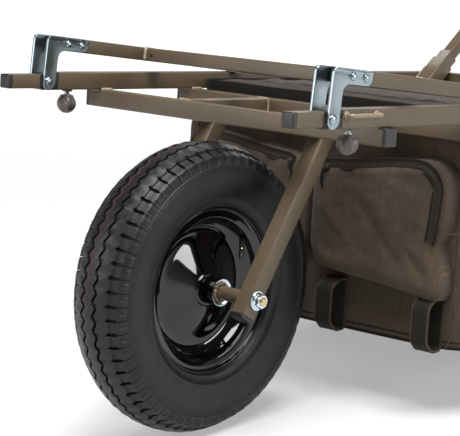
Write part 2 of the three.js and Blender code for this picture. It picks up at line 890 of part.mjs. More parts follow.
// Clamp knobs hang on -Z below the face that their screw passes through.

function knobGeometry(studInside) {
  const top = -(bossHeight + seatGap + studShow);
  const half = knobHeight / 2;
  const levels = [
    [0, knobNeck / knobDiameter],
    [0.12, 0.6],
    [0.4, 0.9],
    [0.62, 1],
    [0.84, 0.86],
    [1, 0.45],
  ];
  const around = knobLobes * 4;
  const places = [0, 0, top];
  for (const [depthShare, widthShare] of levels) {
    for (let i = 0; i < around; i += 1) {
      const angle = (2 * Math.PI * i) / around;
      const radius = (knobDiameter / 2) * widthShare;
      const lobe = knobLobeDepth * widthShare * 0.5 * (1 - Math.cos(knobLobes * angle));
      const reach = radius - lobe;
      places.push(reach * Math.cos(angle), reach * Math.sin(angle), top - knobHeight * depthShare);
    }
  }
  places.push(0, 0, top - knobHeight);
  const faces = [];
  const last = 1 + levels.length * around;
  for (let i = 0; i < around; i += 1) {
    const next = (i + 1) % around;
    faces.push(0, 1 + i, 1 + next);
    for (let row = 0; row < levels.length - 1; row += 1) {
      const a = 1 + row * around + i;
      const b = 1 + row * around + next;
      faces.push(a, a + around, b, b, a + around, b + around);
    }
    const row = 1 + (levels.length - 1) * around;
    faces.push(last, row + next, row + i);
  }
  const body = new THREE.BufferGeometry();
  body.setAttribute('position', new THREE.Float32BufferAttribute(places, 3));
  body.setIndex(faces);
  const stud = disc(knobStud, studInside - top + half, fineSteps).translate(0, 0, top - half);
  return joined([body, stud]);
}

function knob(name, studInside) {
  return namedMesh(name, knobGeometry(studInside), finishes.knob);
}

function railKnobs() {
  const knobs = new THREE.Group();
  for (const { name, sign } of sides) {
    const mesh = knob(`rail_knob_${name}`, outerWall + slideGap / 2);
    mesh.position.set(railKnobX, sign * railCentreY, railCentreZ - outerSide / 2);
    knobs.add(mesh);
  }
  return knobs;
}

// Handles: a stepped socket against the inner face of each rail, with a sliding tube in it

const handleLean = handleRise - Math.PI / 2;
const handleY = railCentreY - outerSide / 2 - seatGap - socketSide / 2;
const socketMouth = socketAbove + sleeveShow;

function handleFrame(sign) {
  const frame = new THREE.Group();
  frame.position.set(handleBase, sign * handleY, railTop);
  frame.rotation.y = handleLean;
  return frame;
}

function handleSocketGeometry() {
  const boreSide = outerSide - 2 * outerWall;
  const lower = squareTube(socketSide, (socketSide - boreSide) / 2, socketBelow + socketAbove);
  const upper = squareTube(outerSide, outerWall, socketBelow + socketMouth);
  const depth = socketSide / 2 + bossHeight;
  const boss = disc(bossDiameter, bossHeight + outerWall, 16).rotateY(-Math.PI / 2);
  boss.translate(-(depth - bossHeight - outerWall), 0, socketBelow + handleKnobAlong);
  const holeLength = depth - boreSide / 2 + 2 * overrun;
  const hole = disc(knobStud + 2 * seatGap, holeLength, fineSteps).rotateY(-Math.PI / 2);
  hole.translate(-(boreSide / 2 - overrun), 0, socketBelow + handleKnobAlong);
  return cut(joined([lower, upper, boss]), [hole]).translate(0, 0, -socketBelow);
}

function gripGeometry() {
  const bore = innerSide * Math.SQRT2 * gripBoreShare + 2 * seatGap;
  const outer = gripDiameter / 2;
  const profile = [
    [0, gripLength],
    [0, gripLength - gripEndWall],
    [bore / 2, gripLength - gripEndWall],
    [bore / 2, 0],
    [outer * 0.97, 0],
  ];
  const pitchLength = (gripLength * 0.8) / gripRibs;
  const start = gripLength * 0.08;
  for (let i = 0; i < gripRibs; i += 1) {
    const base = start + i * pitchLength;
    profile.push([outer, base]);
    profile.push([outer, base + pitchLength * 0.6]);
    profile.push([outer - gripRibDepth, base + pitchLength * 0.72]);
    profile.push([outer - gripRibDepth, base + pitchLength * 0.9]);
  }
  profile.push([outer * 1.06, gripLength - gripEndWall]);
  profile.push([outer * 1.06, gripLength]);
  profile.push(profile.shift());
  return turned(profile, smallSteps);
}

function handleParts(sign, name) {
  const handle = handleFrame(sign);
  handle.add(namedMesh(`handle_socket_${name}`, handleSocketGeometry(), finishes.paint));
  const tubeGeometry = squareTube(innerSide, innerWall, handleLength, tubeCorner * 0.8);
  const tube = namedMesh(`handle_tube_${name}`, tubeGeometry, finishes.paint);
  tube.position.z = -socketBelow;
  handle.add(tube);
  const grip = namedMesh(`handle_grip_${name}`, gripGeometry(), finishes.rubber);
  grip.position.z = handleLength - socketBelow - gripLength + gripEndWall + seatGap;
  handle.add(grip);
  const clamp = knob(`handle_knob_${name}`, (socketSide - innerSide) / 2 - slideGap / 2);
  clamp.position.set(-socketSide / 2, 0, handleKnobAlong);
  clamp.rotation.y = Math.PI / 2;
  handle.add(clamp);
  return handle;
}

// Rear legs, square to the rails, on feet that lie level on the floor

function floorBelow(x) {
  return (-tyreRadius - x * Math.sin(pitch)) / Math.cos(pitch);
}

const legTop = railUnderside - seatGap;
const footTop = footThickness / Math.cos(pitch) + footRadius * Math.tan(pitch);
const legBottom = floorBelow(legStation) + footTop + footWall;

function footGeometry() {
  const outer = outerSide + 2 * (footWall + seatGap);
  const base = -(footWall + footTop);
  const ferrule = extruded(roundedRectangle(THREE.Shape, outer, outer, tubeCorner), footFerrule - base);
  ferrule.translate(0, 0, base);
  const pad = disc(2 * footRadius, footThickness, 28).rotateY(pitch).translate(0, 0, base);
  const boreSide = outerSide + 2 * seatGap;
  const bore = extruded(
    roundedRectangle(THREE.Shape, boreSide, boreSide, tubeCorner / 2),
    footFerrule + overrun,
  ).translate(0, 0, -seatGap);
  const ground = new THREE.BoxGeometry(footRadius * 4, footRadius * 4, footRadius * 2);
  ground.translate(0, 0, -footRadius).rotateY(pitch).translate(0, 0, base);
  return cut(joined([ferrule, pad]), [bore, ground]);
}

function legParts(sign, name) {
  const leg = new THREE.Group();
  leg.position.set(legStation, sign * railCentreY, legBottom);
  const tube = squareTube(outerSide, outerWall, legTop - legBottom);
  leg.add(namedMesh(`rear_leg_${name}`, tube, finishes.paint));
  leg.add(namedMesh(`foot_${name}`, footGeometry(), finishes.rubber));
  return leg;
}

// Bag

function softBox(front, rear, halfWidth, bottom, top, corner) {
  const length = front - rear;
  const shape = roundedRectangle(THREE.Shape, length, 2 * halfWidth, corner);
  const bevel = corner * 0.5;
  const innerCorner = corner - bevel * 0.6;
  const inner = roundedRectangle(THREE.Shape, length - 2 * bevel, 2 * (halfWidth - bevel), innerCorner);
  const geometry = new THREE.ExtrudeGeometry(corner > bevel * 2 ? shape : inner, {
    depth: top - bottom - 2 * bevel,
    bevelThickness: bevel,
    bevelSize: bevel,
    bevelSegments: 2,
    curveSegments: 2,
  });
  return geometry.translate((front + rear) / 2, 0, bottom + bevel);
}

function bagBodyGeometry() {
  const body = softBox(bagFront, bagRear, bagHalfWidth, bagBottom, bagShoulder, bagCorner);
  const neckHalf = railCentreY - outerSide / 2 - seatGap;
  const neckBottom = bagShoulder - bagCorner;
  const neck = softBox(bagFront - seatGap, bagRear, neckHalf, neckBottom, bagTop, bagTopCorner);
  return joined([body, neck]);
}

// The front pocket stands off the bag's front and bulges in the middle.
function pocketGeometry() {
  const width = 2 * (pocketHalfWidth - pocketBulge);
  const height = pocketTop - pocketBottom - 2 * pocketBulge;
  const shape = roundedRectangle(THREE.Shape, height, width, pocketCorner);
  const bag = new THREE.ExtrudeGeometry(shape, {
    depth: pocketDepth - 2 * pocketBulge,
    bevelThickness: pocketBulge,
    bevelSize: pocketBulge,
    bevelSegments: 3,
    curveSegments: 3,
  });
  bag.rotateY(-Math.PI / 2);
  const middle = (pocketTop + pocketBottom) / 2;
  return bag.translate(bagFront + pocketDepth - pocketBulge + seatGap, 0, middle);
}

function webbingLoopGeometry(centreY) {
  const height = loopWebTop - loopWebBottom;
  const outline = roundedRectangle(THREE.Shape, loopWebDepth, height, loopWebDepth * 0.45);
  const inside = loopWebDepth - 2 * loopWebThickness;
  outline.holes.push(roundedRectangle(THREE.Path, inside, height - 2 * loopWebThickness, inside * 0.44));
  const loop = extruded(outline, loopWebWidth, 3).rotateX(Math.PI / 2);
  const x = bagFront + seatGap + loopWebDepth / 2;
  return loop.translate(x, centreY + loopWebWidth / 2, (loopWebTop + loopWebBottom) / 2);
}

function bagParts() {
  const bag = new THREE.Group();
  bag.add(namedMesh('bag_body', bagBodyGeometry(), finishes.fabric));
  bag.add(namedMesh('bag_pocket', pocketGeometry(), finishes.fabric));
  for (const { name, sign } of sides) {
    const inner = webbingLoopGeometry(sign * loopWebInner);
    bag.add(namedMesh(`bag_loop_inner_${name}`, inner, finishes.webbing));
    const outer = webbingLoopGeometry(sign * loopWebOuter);
    bag.add(namedMesh(`bag_loop_outer_${name}`, outer, finishes.webbing));
  }
  return bag;
}

// Assembly

const level = new THREE.Group();
level.add(wheelParts());
level.add(axleParts());
level.add(forkParts());
level.add(frameParts());
level.add(extensionParts());
level.add(loadStopParts());
level.add(railKnobs());
for (const { name, sign } of sides) {
  level.add(handleParts(sign, name));
  level.add(legParts(sign, name));
}
level.add(bagParts());
level.rotation.y = -pitch;
level.position.z = tyreRadius;

const trolley = new THREE.Group();
trolley.add(level);

const extent = new THREE.Box3().setFromObject(trolley, true);
level.position.x -= (extent.min.x + extent.max.x) / 2;
level.position.z -= extent.min.z;

export default trolley;
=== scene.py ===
"""Looks of a single-wheel fishing trolley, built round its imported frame.

Sizes in the classes are millimetres in the trolley's level frame: X forward along the rails, Y to
the left, Z square to the rails and up, with the wheel's axle at zero. Meshes are written in metres.
"""

from __future__ import annotations

import json
import logging
import math
import random
from dataclasses import dataclass
from enum import Enum
from typing import Callable, Sequence

import bmesh
import bpy
import numpy as np
from mathutils import Matrix, Vector, noise

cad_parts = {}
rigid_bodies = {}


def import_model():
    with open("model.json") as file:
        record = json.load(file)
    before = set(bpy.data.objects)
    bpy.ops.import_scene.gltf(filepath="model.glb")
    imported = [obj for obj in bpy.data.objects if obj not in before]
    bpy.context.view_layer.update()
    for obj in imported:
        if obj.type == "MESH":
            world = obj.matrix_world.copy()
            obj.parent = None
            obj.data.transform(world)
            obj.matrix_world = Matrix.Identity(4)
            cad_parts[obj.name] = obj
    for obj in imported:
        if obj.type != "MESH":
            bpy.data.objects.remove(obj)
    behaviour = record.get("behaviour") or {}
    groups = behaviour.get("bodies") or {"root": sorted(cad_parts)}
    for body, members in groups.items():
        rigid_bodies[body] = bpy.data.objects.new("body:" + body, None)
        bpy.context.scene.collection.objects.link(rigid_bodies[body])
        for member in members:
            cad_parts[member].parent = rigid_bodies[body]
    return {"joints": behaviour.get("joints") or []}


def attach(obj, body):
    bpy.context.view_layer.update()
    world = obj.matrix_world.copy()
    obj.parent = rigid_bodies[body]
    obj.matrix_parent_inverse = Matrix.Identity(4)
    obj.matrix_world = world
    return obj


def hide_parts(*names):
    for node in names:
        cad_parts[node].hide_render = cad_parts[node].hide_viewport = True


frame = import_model()
LOG = logging.getLogger("trolley")
Colour = tuple[float, float, float]
Point = tuple[float, float, float]
Flat = tuple[float, float]
Slant = Callable[[float, float, bool], float]
Socket = bpy.types.NodeSocket
WHITE = (1.0, 1.0, 1.0, 1.0)


class Side(Enum):
    """The two sides of the trolley, with the sign of Y on each."""

    LEFT = 1
    RIGHT = -1

    @property
    def word(self) -> str:
        """The side's word in node names."""
        return self.name.lower()

    @property
    def sign(self) -> int:
        """Plus one on the left and minus one on the right."""
        return self.value


def linear(colour: Colour, strength: float = 1.0) -> tuple[float, float, float, float]:
    """Turns a display colour into the linear values that shaders take.

    Args:
        colour: Red, green and blue from 0 to 1 as displayed.
        strength: Factor on the linear values.

    Returns:
        Red, green, blue and alpha, linear.
    """
    straight = [c / 12.92 if c <= 0.04045 else ((c + 0.055) / 1.055) ** 2.4 for c in colour]
    return (straight[0] * strength, straight[1] * strength, straight[2] * strength, 1.0)


# Node graphs and finishes


class Graph:
    """Node graph of a material or a world, with short calls for its nodes."""

    def __init__(self, owner: bpy.types.ID) -> None:
        """Empties the graph of a material or a world."""
        owner.use_nodes = True
        self.tree = owner.node_tree
        self.tree.nodes.clear()

    def node(self, kind: str, inputs: dict[str, object] | None = None,
             **settings: object) -> bpy.types.Node:
        """Adds one node.

        Args:
            kind: The node's type after "ShaderNode".
            inputs: Socket name to a value or to another node's output.
            settings: The node's own properties.

        Returns:
            The new node.
        """
        made = self.tree.nodes.new("ShaderNode" + kind)
        for name, value in settings.items():
            setattr(made, name, value)
        for name, value in (inputs or {}).items():
            socket = made.inputs[int(name)] if name.isdigit() else made.inputs[name]
            self.feed(socket, value)
        return made

    def feed(self, socket: Socket, value: object) -> None:
        """Links an output to a socket, or sets the socket's value."""
        if isinstance(value, Socket):
            self.tree.links.new(value, socket)
        else:
            socket.default_value = value

    def blend(self, share: Socket, first: object, second: object) -> Socket:
        """Mixes two colours, each an output or linear values, by a share."""
        return self.node("Mix", {"Factor": share, "6": first, "7": second}, data_type="RGBA").outputs[2]


class Shading(Graph):
    """Node graph of one material, with short calls for what the finishes share."""

    def __init__(self, name: str) -> None:
        """Starts a material of that name with one main shader."""
        self.material = bpy.data.materials.new(name)
        super().__init__(self.material)
        self.shader = self.node("BsdfPrincipled")
        self.node("OutputMaterial", {"Surface": self.shader.outputs[0]})

    def plain(self, **values: object) -> None:
        """Sets the shader's own sockets, named with underscores for spaces."""
        for name, value in values.items():
            self.shader.inputs[name.replace("_", " ")].default_value = value

    def place(self, stretch: Point = (1.0, 1.0, 1.0), by_uv: bool = False) -> Socket:
        """Coordinates fixed to the piece, stretched along its axes.

        Args:
            stretch: Factor on each axis.
            by_uv: Whether to follow the cloth's own threads instead of the object.

        Returns:
            A vector output.
        """
        source = self.node("TexCoord").outputs["UV" if by_uv else "Object"]
        return self.node("Mapping", {"Vector": source, "Scale": stretch}).outputs[0]

    def noise(self, where: Socket, scale: float, detail: float = 3.0) -> Socket:
        """Soft noise from 0 to 1 at a scale in features a metre."""
        return self.node("TexNoise", {"Vector": where, "Scale": scale, "Detail": detail}).outputs["Fac"]

    def wave(self, where: Socket, axis: str, pitch: float, waver: float) -> Socket:
        """Parallel threads or ribs.

        Args:
            where: The coordinates.
            axis: "X" or "Y", the direction across the threads.
            pitch: Thread spacing in metres.
            waver: How unevenly the threads run.

        Returns:
            Height from 0 to 1.
        """
        inputs = {"Vector": where, "Scale": math.pi / 10 / pitch, "Distortion": waver, "Detail": 1.0}
        return self.node("TexWave", inputs, bands_direction=axis).outputs["Fac"]

    def spread(self, value: Socket, low: float, high: float) -> Socket:
        """Maps 0.3 to 0.7 of a noise onto a range."""
        inputs = {"Value": value, "From Min": 0.3, "From Max": 0.7, "To Min": low, "To Max": high}
        return self.node("MapRange", inputs).outputs[0]

    def tint(self, share: Socket, first: Colour, second: Colour) -> Socket:
        """Mixes two display colours by a share."""
        return self.blend(share, linear(first), linear(second))

    def maths(self, kind: str, first: object, second: object) -> Socket:
        """One arithmetic step on two values."""
        return self.node("Math", {"0": first, "1": second}, operation=kind).outputs[0]

    def relief(self, height: Socket, depth: float, strength: float = 1.0,
               under: Socket | None = None) -> Socket:
        """A bump of a real depth.

        Args:
            height: Height from 0 to 1.
            depth: Depth in metres.
            strength: Share of the bump that is kept.
            under: A bump that this one lies on.

        Returns:
            The bent normal.
        """
        made = self.node("Bump", {"Height": height, "Distance": depth, "Strength": strength})
        if under is not None:
            self.feed(made.inputs["Normal"], under)
        return made.outputs[0]

    def done(self, **links: Socket) -> bpy.types.Material:
        """Links outputs to the shader's sockets and returns the material."""
        for name, output in links.items():
            self.tree.links.new(output, self.shader.inputs[name.replace("_", " ")])
        return self.material


@dataclass(frozen=True)
class Finish:
    """A finish that makes its material once, with the record's material slot that it belongs to."""

    name: str
    slot: str

    def build(self) -> bpy.types.Material:
        """Makes the material."""
        raise NotImplementedError

    def material(self) -> bpy.types.Material:
        """The finish's material, made on first use."""
        return bpy.data.materials.get(self.name) or self.build()


@dataclass(frozen=True)
class PowderCoat(Finish):
    """Satin powder coat with a fine orange peel and a little dust in its tone."""

    colour: Colour = (0.355, 0.303, 0.235)
    shade: Colour = (0.325, 0.277, 0.213)
    gloss: float = 0.33

    def build(self) -> bpy.types.Material:
        """Makes the coat's material."""
        coat = Shading(self.name)
        where = coat.place()
        tone = coat.tint(coat.spread(coat.noise(where, 14.0, 4.0), 0.0, 1.0), self.shade, self.colour)
        speck = coat.spread(coat.noise(where, 900.0, 2.0), 0.0, 0.16)
        tone = coat.blend(speck, tone, linear(self.colour, 0.55))
        peel = coat.relief(coat.noise(where, 420.0, 2.0), 0.00022, 0.55)
        rough = coat.spread(coat.noise(where, 60.0, 3.0), self.gloss - 0.04, self.gloss + 0.07)
        coat.plain(Specular_IOR_Level=0.45)
        return coat.done(Base_Color=tone, Roughness=rough, Normal=peel)


@dataclass(frozen=True)
class Enamel(Finish):
    """High-gloss black enamel on pressed steel."""

    colour: Colour = (0.020, 0.020, 0.023)
    cloud: Colour = (0.028, 0.028, 0.031)

    def build(self) -> bpy.types.Material:
        """Makes the enamel's material."""
        coat = Shading(self.name)
        where = coat.place()
        tone = coat.tint(coat.spread(coat.noise(where, 30.0), 0, 1), self.colour, self.cloud)
        rough = coat.spread(coat.noise(where, 90.0, 4.0), 0.035, 0.075)
        ripple = coat.relief(coat.noise(where, 45.0, 2.0), 0.0002, 0.25)
        coat.plain(Specular_IOR_Level=0.5)
        return coat.done(Base_Color=tone, Roughness=rough, Normal=ripple)


@dataclass(frozen=True)
class Plated(Finish):
    """Bright plated steel, faintly blue or yellow, with fine scratches and clouds."""

    colour: Colour = (0.80, 0.84, 0.86)
    cloud: Colour = (0.62, 0.70, 0.74)
    gloss: float = 0.15

    def build(self) -> bpy.types.Material:
        """Makes the plating's material."""
        metal = Shading(self.name)
        where = metal.place()
        share = metal.spread(metal.noise(where, 40.0, 4.0), 0.0, 0.45)
        tone = metal.tint(share, self.colour, self.cloud)
        scratch = metal.noise(metal.place((1.0, 1.0, 24.0)), 260.0, 3.0)
        rough = metal.spread(scratch, self.gloss - 0.04, self.gloss + 0.07)
        dent = metal.relief(metal.noise(where, 70.0, 2.0), 0.00012, 0.3)
        line = metal.relief(scratch, 0.00002, 0.35, dent)
        metal.plain(Metallic=1.0)
        return metal.done(Base_Color=tone, Roughness=rough, Normal=line)


@dataclass(frozen=True)
class Rubber(Finish):
    """Rubber with a dusty bloom and a slight sheen."""

    colour: Colour = (0.070, 0.070, 0.073)
    bloom: Colour = (0.105, 0.103, 0.107)
    gloss: float = 0.40

    def build(self) -> bpy.types.Material:
        """Makes the rubber's material."""
        skin = Shading(self.name)
        where = skin.place()
        share = skin.spread(skin.noise(where, 38.0, 6.0), 0.0, 0.75)
        tone = skin.tint(share, self.colour, self.bloom)
        rough = skin.spread(skin.noise(where, 120.0, 4.0), self.gloss - 0.06, self.gloss + 0.14)
        grain = skin.relief(skin.noise(where, 1400.0, 3.0), 0.00018, 0.6)
        wave = skin.relief(skin.noise(where, 85.0, 3.0), 0.0004, 0.35, grain)
        skin.plain(Specular_IOR_Level=0.30)
        return skin.done(Base_Color=tone, Roughness=rough, Normal=wave)


@dataclass(frozen=True)
class Moulded(Finish):
    """Moulded plastic with a fine spark-eroded grain."""

    colour: Colour = (0.075, 0.076, 0.084)
    flow: Colour = (0.100, 0.102, 0.112)
    gloss: float = 0.36

    def build(self) -> bpy.types.Material:
        """Makes the plastic's material."""
        skin = Shading(self.name)
        where = skin.place()
        tone = skin.tint(skin.spread(skin.noise(where, 45.0, 3.0), 0.0, 1.0), self.colour, self.flow)
        rough = skin.spread(skin.noise(where, 300.0, 3.0), self.gloss - 0.05, self.gloss + 0.10)
        grain = skin.relief(skin.noise(where, 1800.0, 2.0), 0.0001, 0.7)
        skin.plain(Specular_IOR_Level=0.5)
        return skin.done(Base_Color=tone, Roughness=rough, Normal=grain)


@dataclass(frozen=True)
class Woven(Finish):
    """Woven cloth or webbing, with slubs and pale streaks that run along its warp.

    warp and weft are the spacings of the threads, and depth how far they stand out, in metres.
    """

    colour: Colour = (0.285, 0.240, 0.198)
    thread: Colour = (0.410, 0.355, 0.285)
    shade: Colour = (0.215, 0.172, 0.155)
    warp: float = 0.0022
    weft: float = 0.0018
    depth: float = 0.00022
    fuzz: float = 0.12

    def build(self) -> bpy.types.Material:
        """Makes the cloth's material."""
        cloth = Shading(self.name)
        where = cloth.place(by_uv=True)
        body = cloth.place()
        warp = cloth.wave(where, "X", self.warp, 0.6)
        weft = cloth.wave(where, "Y", self.weft, 0.6)
        weave = cloth.maths("MULTIPLY", cloth.maths("ADD", warp, weft), 0.5)
        slub = cloth.noise(cloth.place((1.0, 0.06, 1.0), by_uv=True), 620.0, 3.0)
        patch = cloth.spread(cloth.noise(body, 9.0, 4.0), 0.0, 1.0)
        tone = cloth.tint(patch, self.colour, self.shade)
        streak = cloth.noise(cloth.place((1.0, 0.035, 1.0), by_uv=True), 380.0, 4.0)
        lift = cloth.maths("MULTIPLY", cloth.spread(slub, 0.1, 0.9), weave)
        lift = cloth.maths("MULTIPLY", lift, cloth.spread(streak, 0.35, 1.25))
        tone = cloth.blend(lift, tone, linear(self.thread))
        fine = cloth.relief(weave, self.depth, 0.8)
        soft = cloth.relief(cloth.noise(body, 95.0, 4.0), 0.0016, 0.55, fine)
        rough = cloth.spread(slub, 0.74, 0.92)
        cloth.plain(Sheen_Weight=self.fuzz, Sheen_Roughness=0.5, Specular_IOR_Level=0.18)
        return cloth.done(Base_Color=tone, Roughness=rough, Normal=soft)


@dataclass(frozen=True)
class StudioFloor(Finish):
    """Pale floor that looks white to the camera and in reflections, and still takes shadows.

    near and far are the distances from its middle, in metres, between which its glow rises.
    """

    colour: Colour = (0.72, 0.72, 0.72)
    cloud: Colour = (0.735, 0.735, 0.735)
    near: float = 1.0
    far: float = 4.0
    near_glow: float = 0.36
    far_glow: float = 0.95

    def build(self) -> bpy.types.Material:
        """Makes the floor's material."""
        floor = Shading(self.name)
        grain = floor.noise(floor.place(), 3.0, 2.0)
        tone = floor.tint(floor.spread(grain, 0.0, 1.0), self.colour, self.cloud)
        path = floor.node("LightPath").outputs
        seen = floor.maths("MAXIMUM", path["Is Camera Ray"], path["Is Glossy Ray"])
        seen = floor.maths("MAXIMUM", seen, path["Is Transmission Ray"])
        away = floor.node("VectorMath", {"0": floor.place()}, operation="LENGTH").outputs["Value"]
        span = {"Value": away, "From Min": self.near, "From Max": self.far, "To Min": self.near_glow,
                "To Max": self.far_glow}
        reach = floor.node("MapRange", span, interpolation_type="SMOOTHSTEP").outputs[0]
        glow = floor.maths("MULTIPLY", seen, reach)
        floor.plain(Specular_IOR_Level=0.0, Emission_Color=WHITE, Roughness=1.0)
        return floor.done(Base_Color=tone, Emission_Strength=glow)


class Finishes:
    """Every finish of the trolley."""

    paint = PowderCoat("paint_olive_brown", "paint")
    # Same powder coat as the frame in a lighter colour: the lighter colour is a painted highlight on the
    # weld lumps.
    weld = PowderCoat("paint_on_weld", "paint", (0.62, 0.56, 0.47), (0.52, 0.465, 0.385), gloss=0.26)
    # Same powder coat as the frame in a lighter colour: the lighter colour is a painted highlight on the
    # round tie-loop rods.
    rod = PowderCoat("paint_on_rod", "paint", (0.54, 0.48, 0.395), (0.48, 0.425, 0.345), gloss=0.26)
    enamel = Enamel("enamel_black", "gloss_black")
    zinc = Plated("zinc_bright", "zinc")
    satin = Plated("zinc_satin", "zinc", (0.61, 0.655, 0.68), (0.50, 0.56, 0.59), gloss=0.29)
    brass = Plated("zinc_yellow", "zinc", (0.78, 0.70, 0.52), (0.66, 0.60, 0.48), gloss=0.26)
    tyre = Rubber("rubber_tyre", "tyre")
    tread = Rubber("rubber_tread_face", "tyre", (0.085, 0.083, 0.088), (0.122, 0.118, 0.125), gloss=0.34)
    stripe = Rubber("rubber_red_stripe", "tyre", (0.30, 0.16, 0.15), (0.21, 0.145, 0.145), gloss=0.5)
    tube = Rubber("rubber_air_tube", "inner_tube", (0.09, 0.09, 0.09), (0.12, 0.12, 0.12), gloss=0.45)
    grip = Rubber("rubber_grip", "grip_rubber", (0.105, 0.105, 0.110), (0.150, 0.150, 0.155), gloss=0.55)
    nylon = Moulded("nylon_black", "black_nylon")
    knob = Moulded("plastic_knob", "knob", (0.290, 0.262, 0.248), (0.335, 0.302, 0.285), gloss=0.32)
    grease = Moulded("seal_dusty_brown", "zinc", (0.34, 0.28, 0.20), (0.46, 0.39, 0.29), gloss=0.45)
    cloth = Woven("cloth_dark_brown", "fabric")
    lid = Woven("cloth_lid_brown", "fabric", (0.200, 0.165, 0.135), (0.270, 0.225, 0.190),
                (0.160, 0.132, 0.110), warp=0.0011, weft=0.0011, depth=0.00022, fuzz=0.12)
    binding = Woven("binding_black", "webbing", (0.072, 0.062, 0.052), (0.105, 0.092, 0.078),
                    (0.060, 0.052, 0.045), warp=0.0016, weft=0.0010, depth=0.0002, fuzz=0.05)
    webbing = Woven("webbing_olive", "webbing", (0.115, 0.105, 0.080), (0.165, 0.155, 0.118),
                    (0.095, 0.086, 0.066), warp=0.0019, weft=0.0032, depth=0.00055, fuzz=0.05)
    # Edge strips of the webbing loops in a lighter colour: the lighter colour is a painted highlight along
    # the band's edges.
    edge = Woven("webbing_edge", "webbing", (0.235, 0.205, 0.160), (0.290, 0.255, 0.200),
                 (0.185, 0.160, 0.125), warp=0.0016, weft=0.0022, depth=0.0004, fuzz=0.08)
    tape = Woven("zip_tape", "webbing", (0.175, 0.152, 0.122), (0.235, 0.205, 0.165),
                 (0.140, 0.122, 0.100), warp=0.0009, weft=0.0014, depth=0.0002, fuzz=0.05)
    thread = Woven("thread_brown", "fabric", (0.33, 0.28, 0.235), (0.40, 0.34, 0.29), (0.29, 0.24, 0.205),
                   warp=0.0006, weft=0.0009, depth=0.0002, fuzz=0.2)
    coil = Moulded("zip_coil", "webbing", (0.115, 0.112, 0.100), (0.155, 0.150, 0.135), gloss=0.42)
    floor = StudioFloor("studio_floor", "")


# Meshes


def rounded_rectangle(width: float, height: float, corner: float, steps: int = 4) -> list[Flat]:
    """Outline of a rectangle with round corners, anticlockwise.

    Args:
        width: Size along the first axis.
        height: Size along the second axis.
        corner: Corner radius.
        steps: Segments in each corner.

    Returns:
        The outline's points.
    """
    x, y = width / 2 - corner, height / 2 - corner
    outline = []
    for quarter, (cx, cy) in enumerate([(x, y), (-x, y), (-x, -y), (x, -y)]):
        for step in range(steps + 1):
            angle = math.pi / 2 * (quarter + step / steps)
            outline.append((cx + corner * math.cos(angle), cy + corner * math.sin(angle)))
    return outline


def filleted(corners: Sequence[tuple[float, float, float]], steps: int = 4,
             closed: bool = False) -> list[Flat]:
    """Rounds the corners of a polyline.

    Args:
        corners: Points as (first, second, radius).
        steps: Segments in each rounded corner.
        closed: Whether the last point joins the first.

    Returns:
        The rounded polyline.
    """
    made: list[Flat] = []
    count = len(corners)
    for i, (x, y, radius) in enumerate(corners):
        at_end = not closed and i in (0, count - 1)
        if at_end or radius <= 0:
            made.append((x, y))
            continue
        here = np.array([x, y])
        back = np.array(corners[i - 1][:2]) - here
        ahead = np.array(corners[(i + 1) % count][:2]) - here
        back_length, ahead_length = np.linalg.norm(back), np.linalg.norm(ahead)
        back, ahead = back / back_length, ahead / ahead_length
        half = math.acos(float(np.clip(back @ ahead, -0.9999, 0.9999))) / 2
        reach = min(radius / math.tan(half), back_length * 0.49, ahead_length * 0.49)
        for step in range(steps + 1):
            t = step / steps
            point = here + back * reach * (1 - t) ** 2 + ahead * reach * t**2
            made.append((float(point[0]), float(point[1])))
    return made


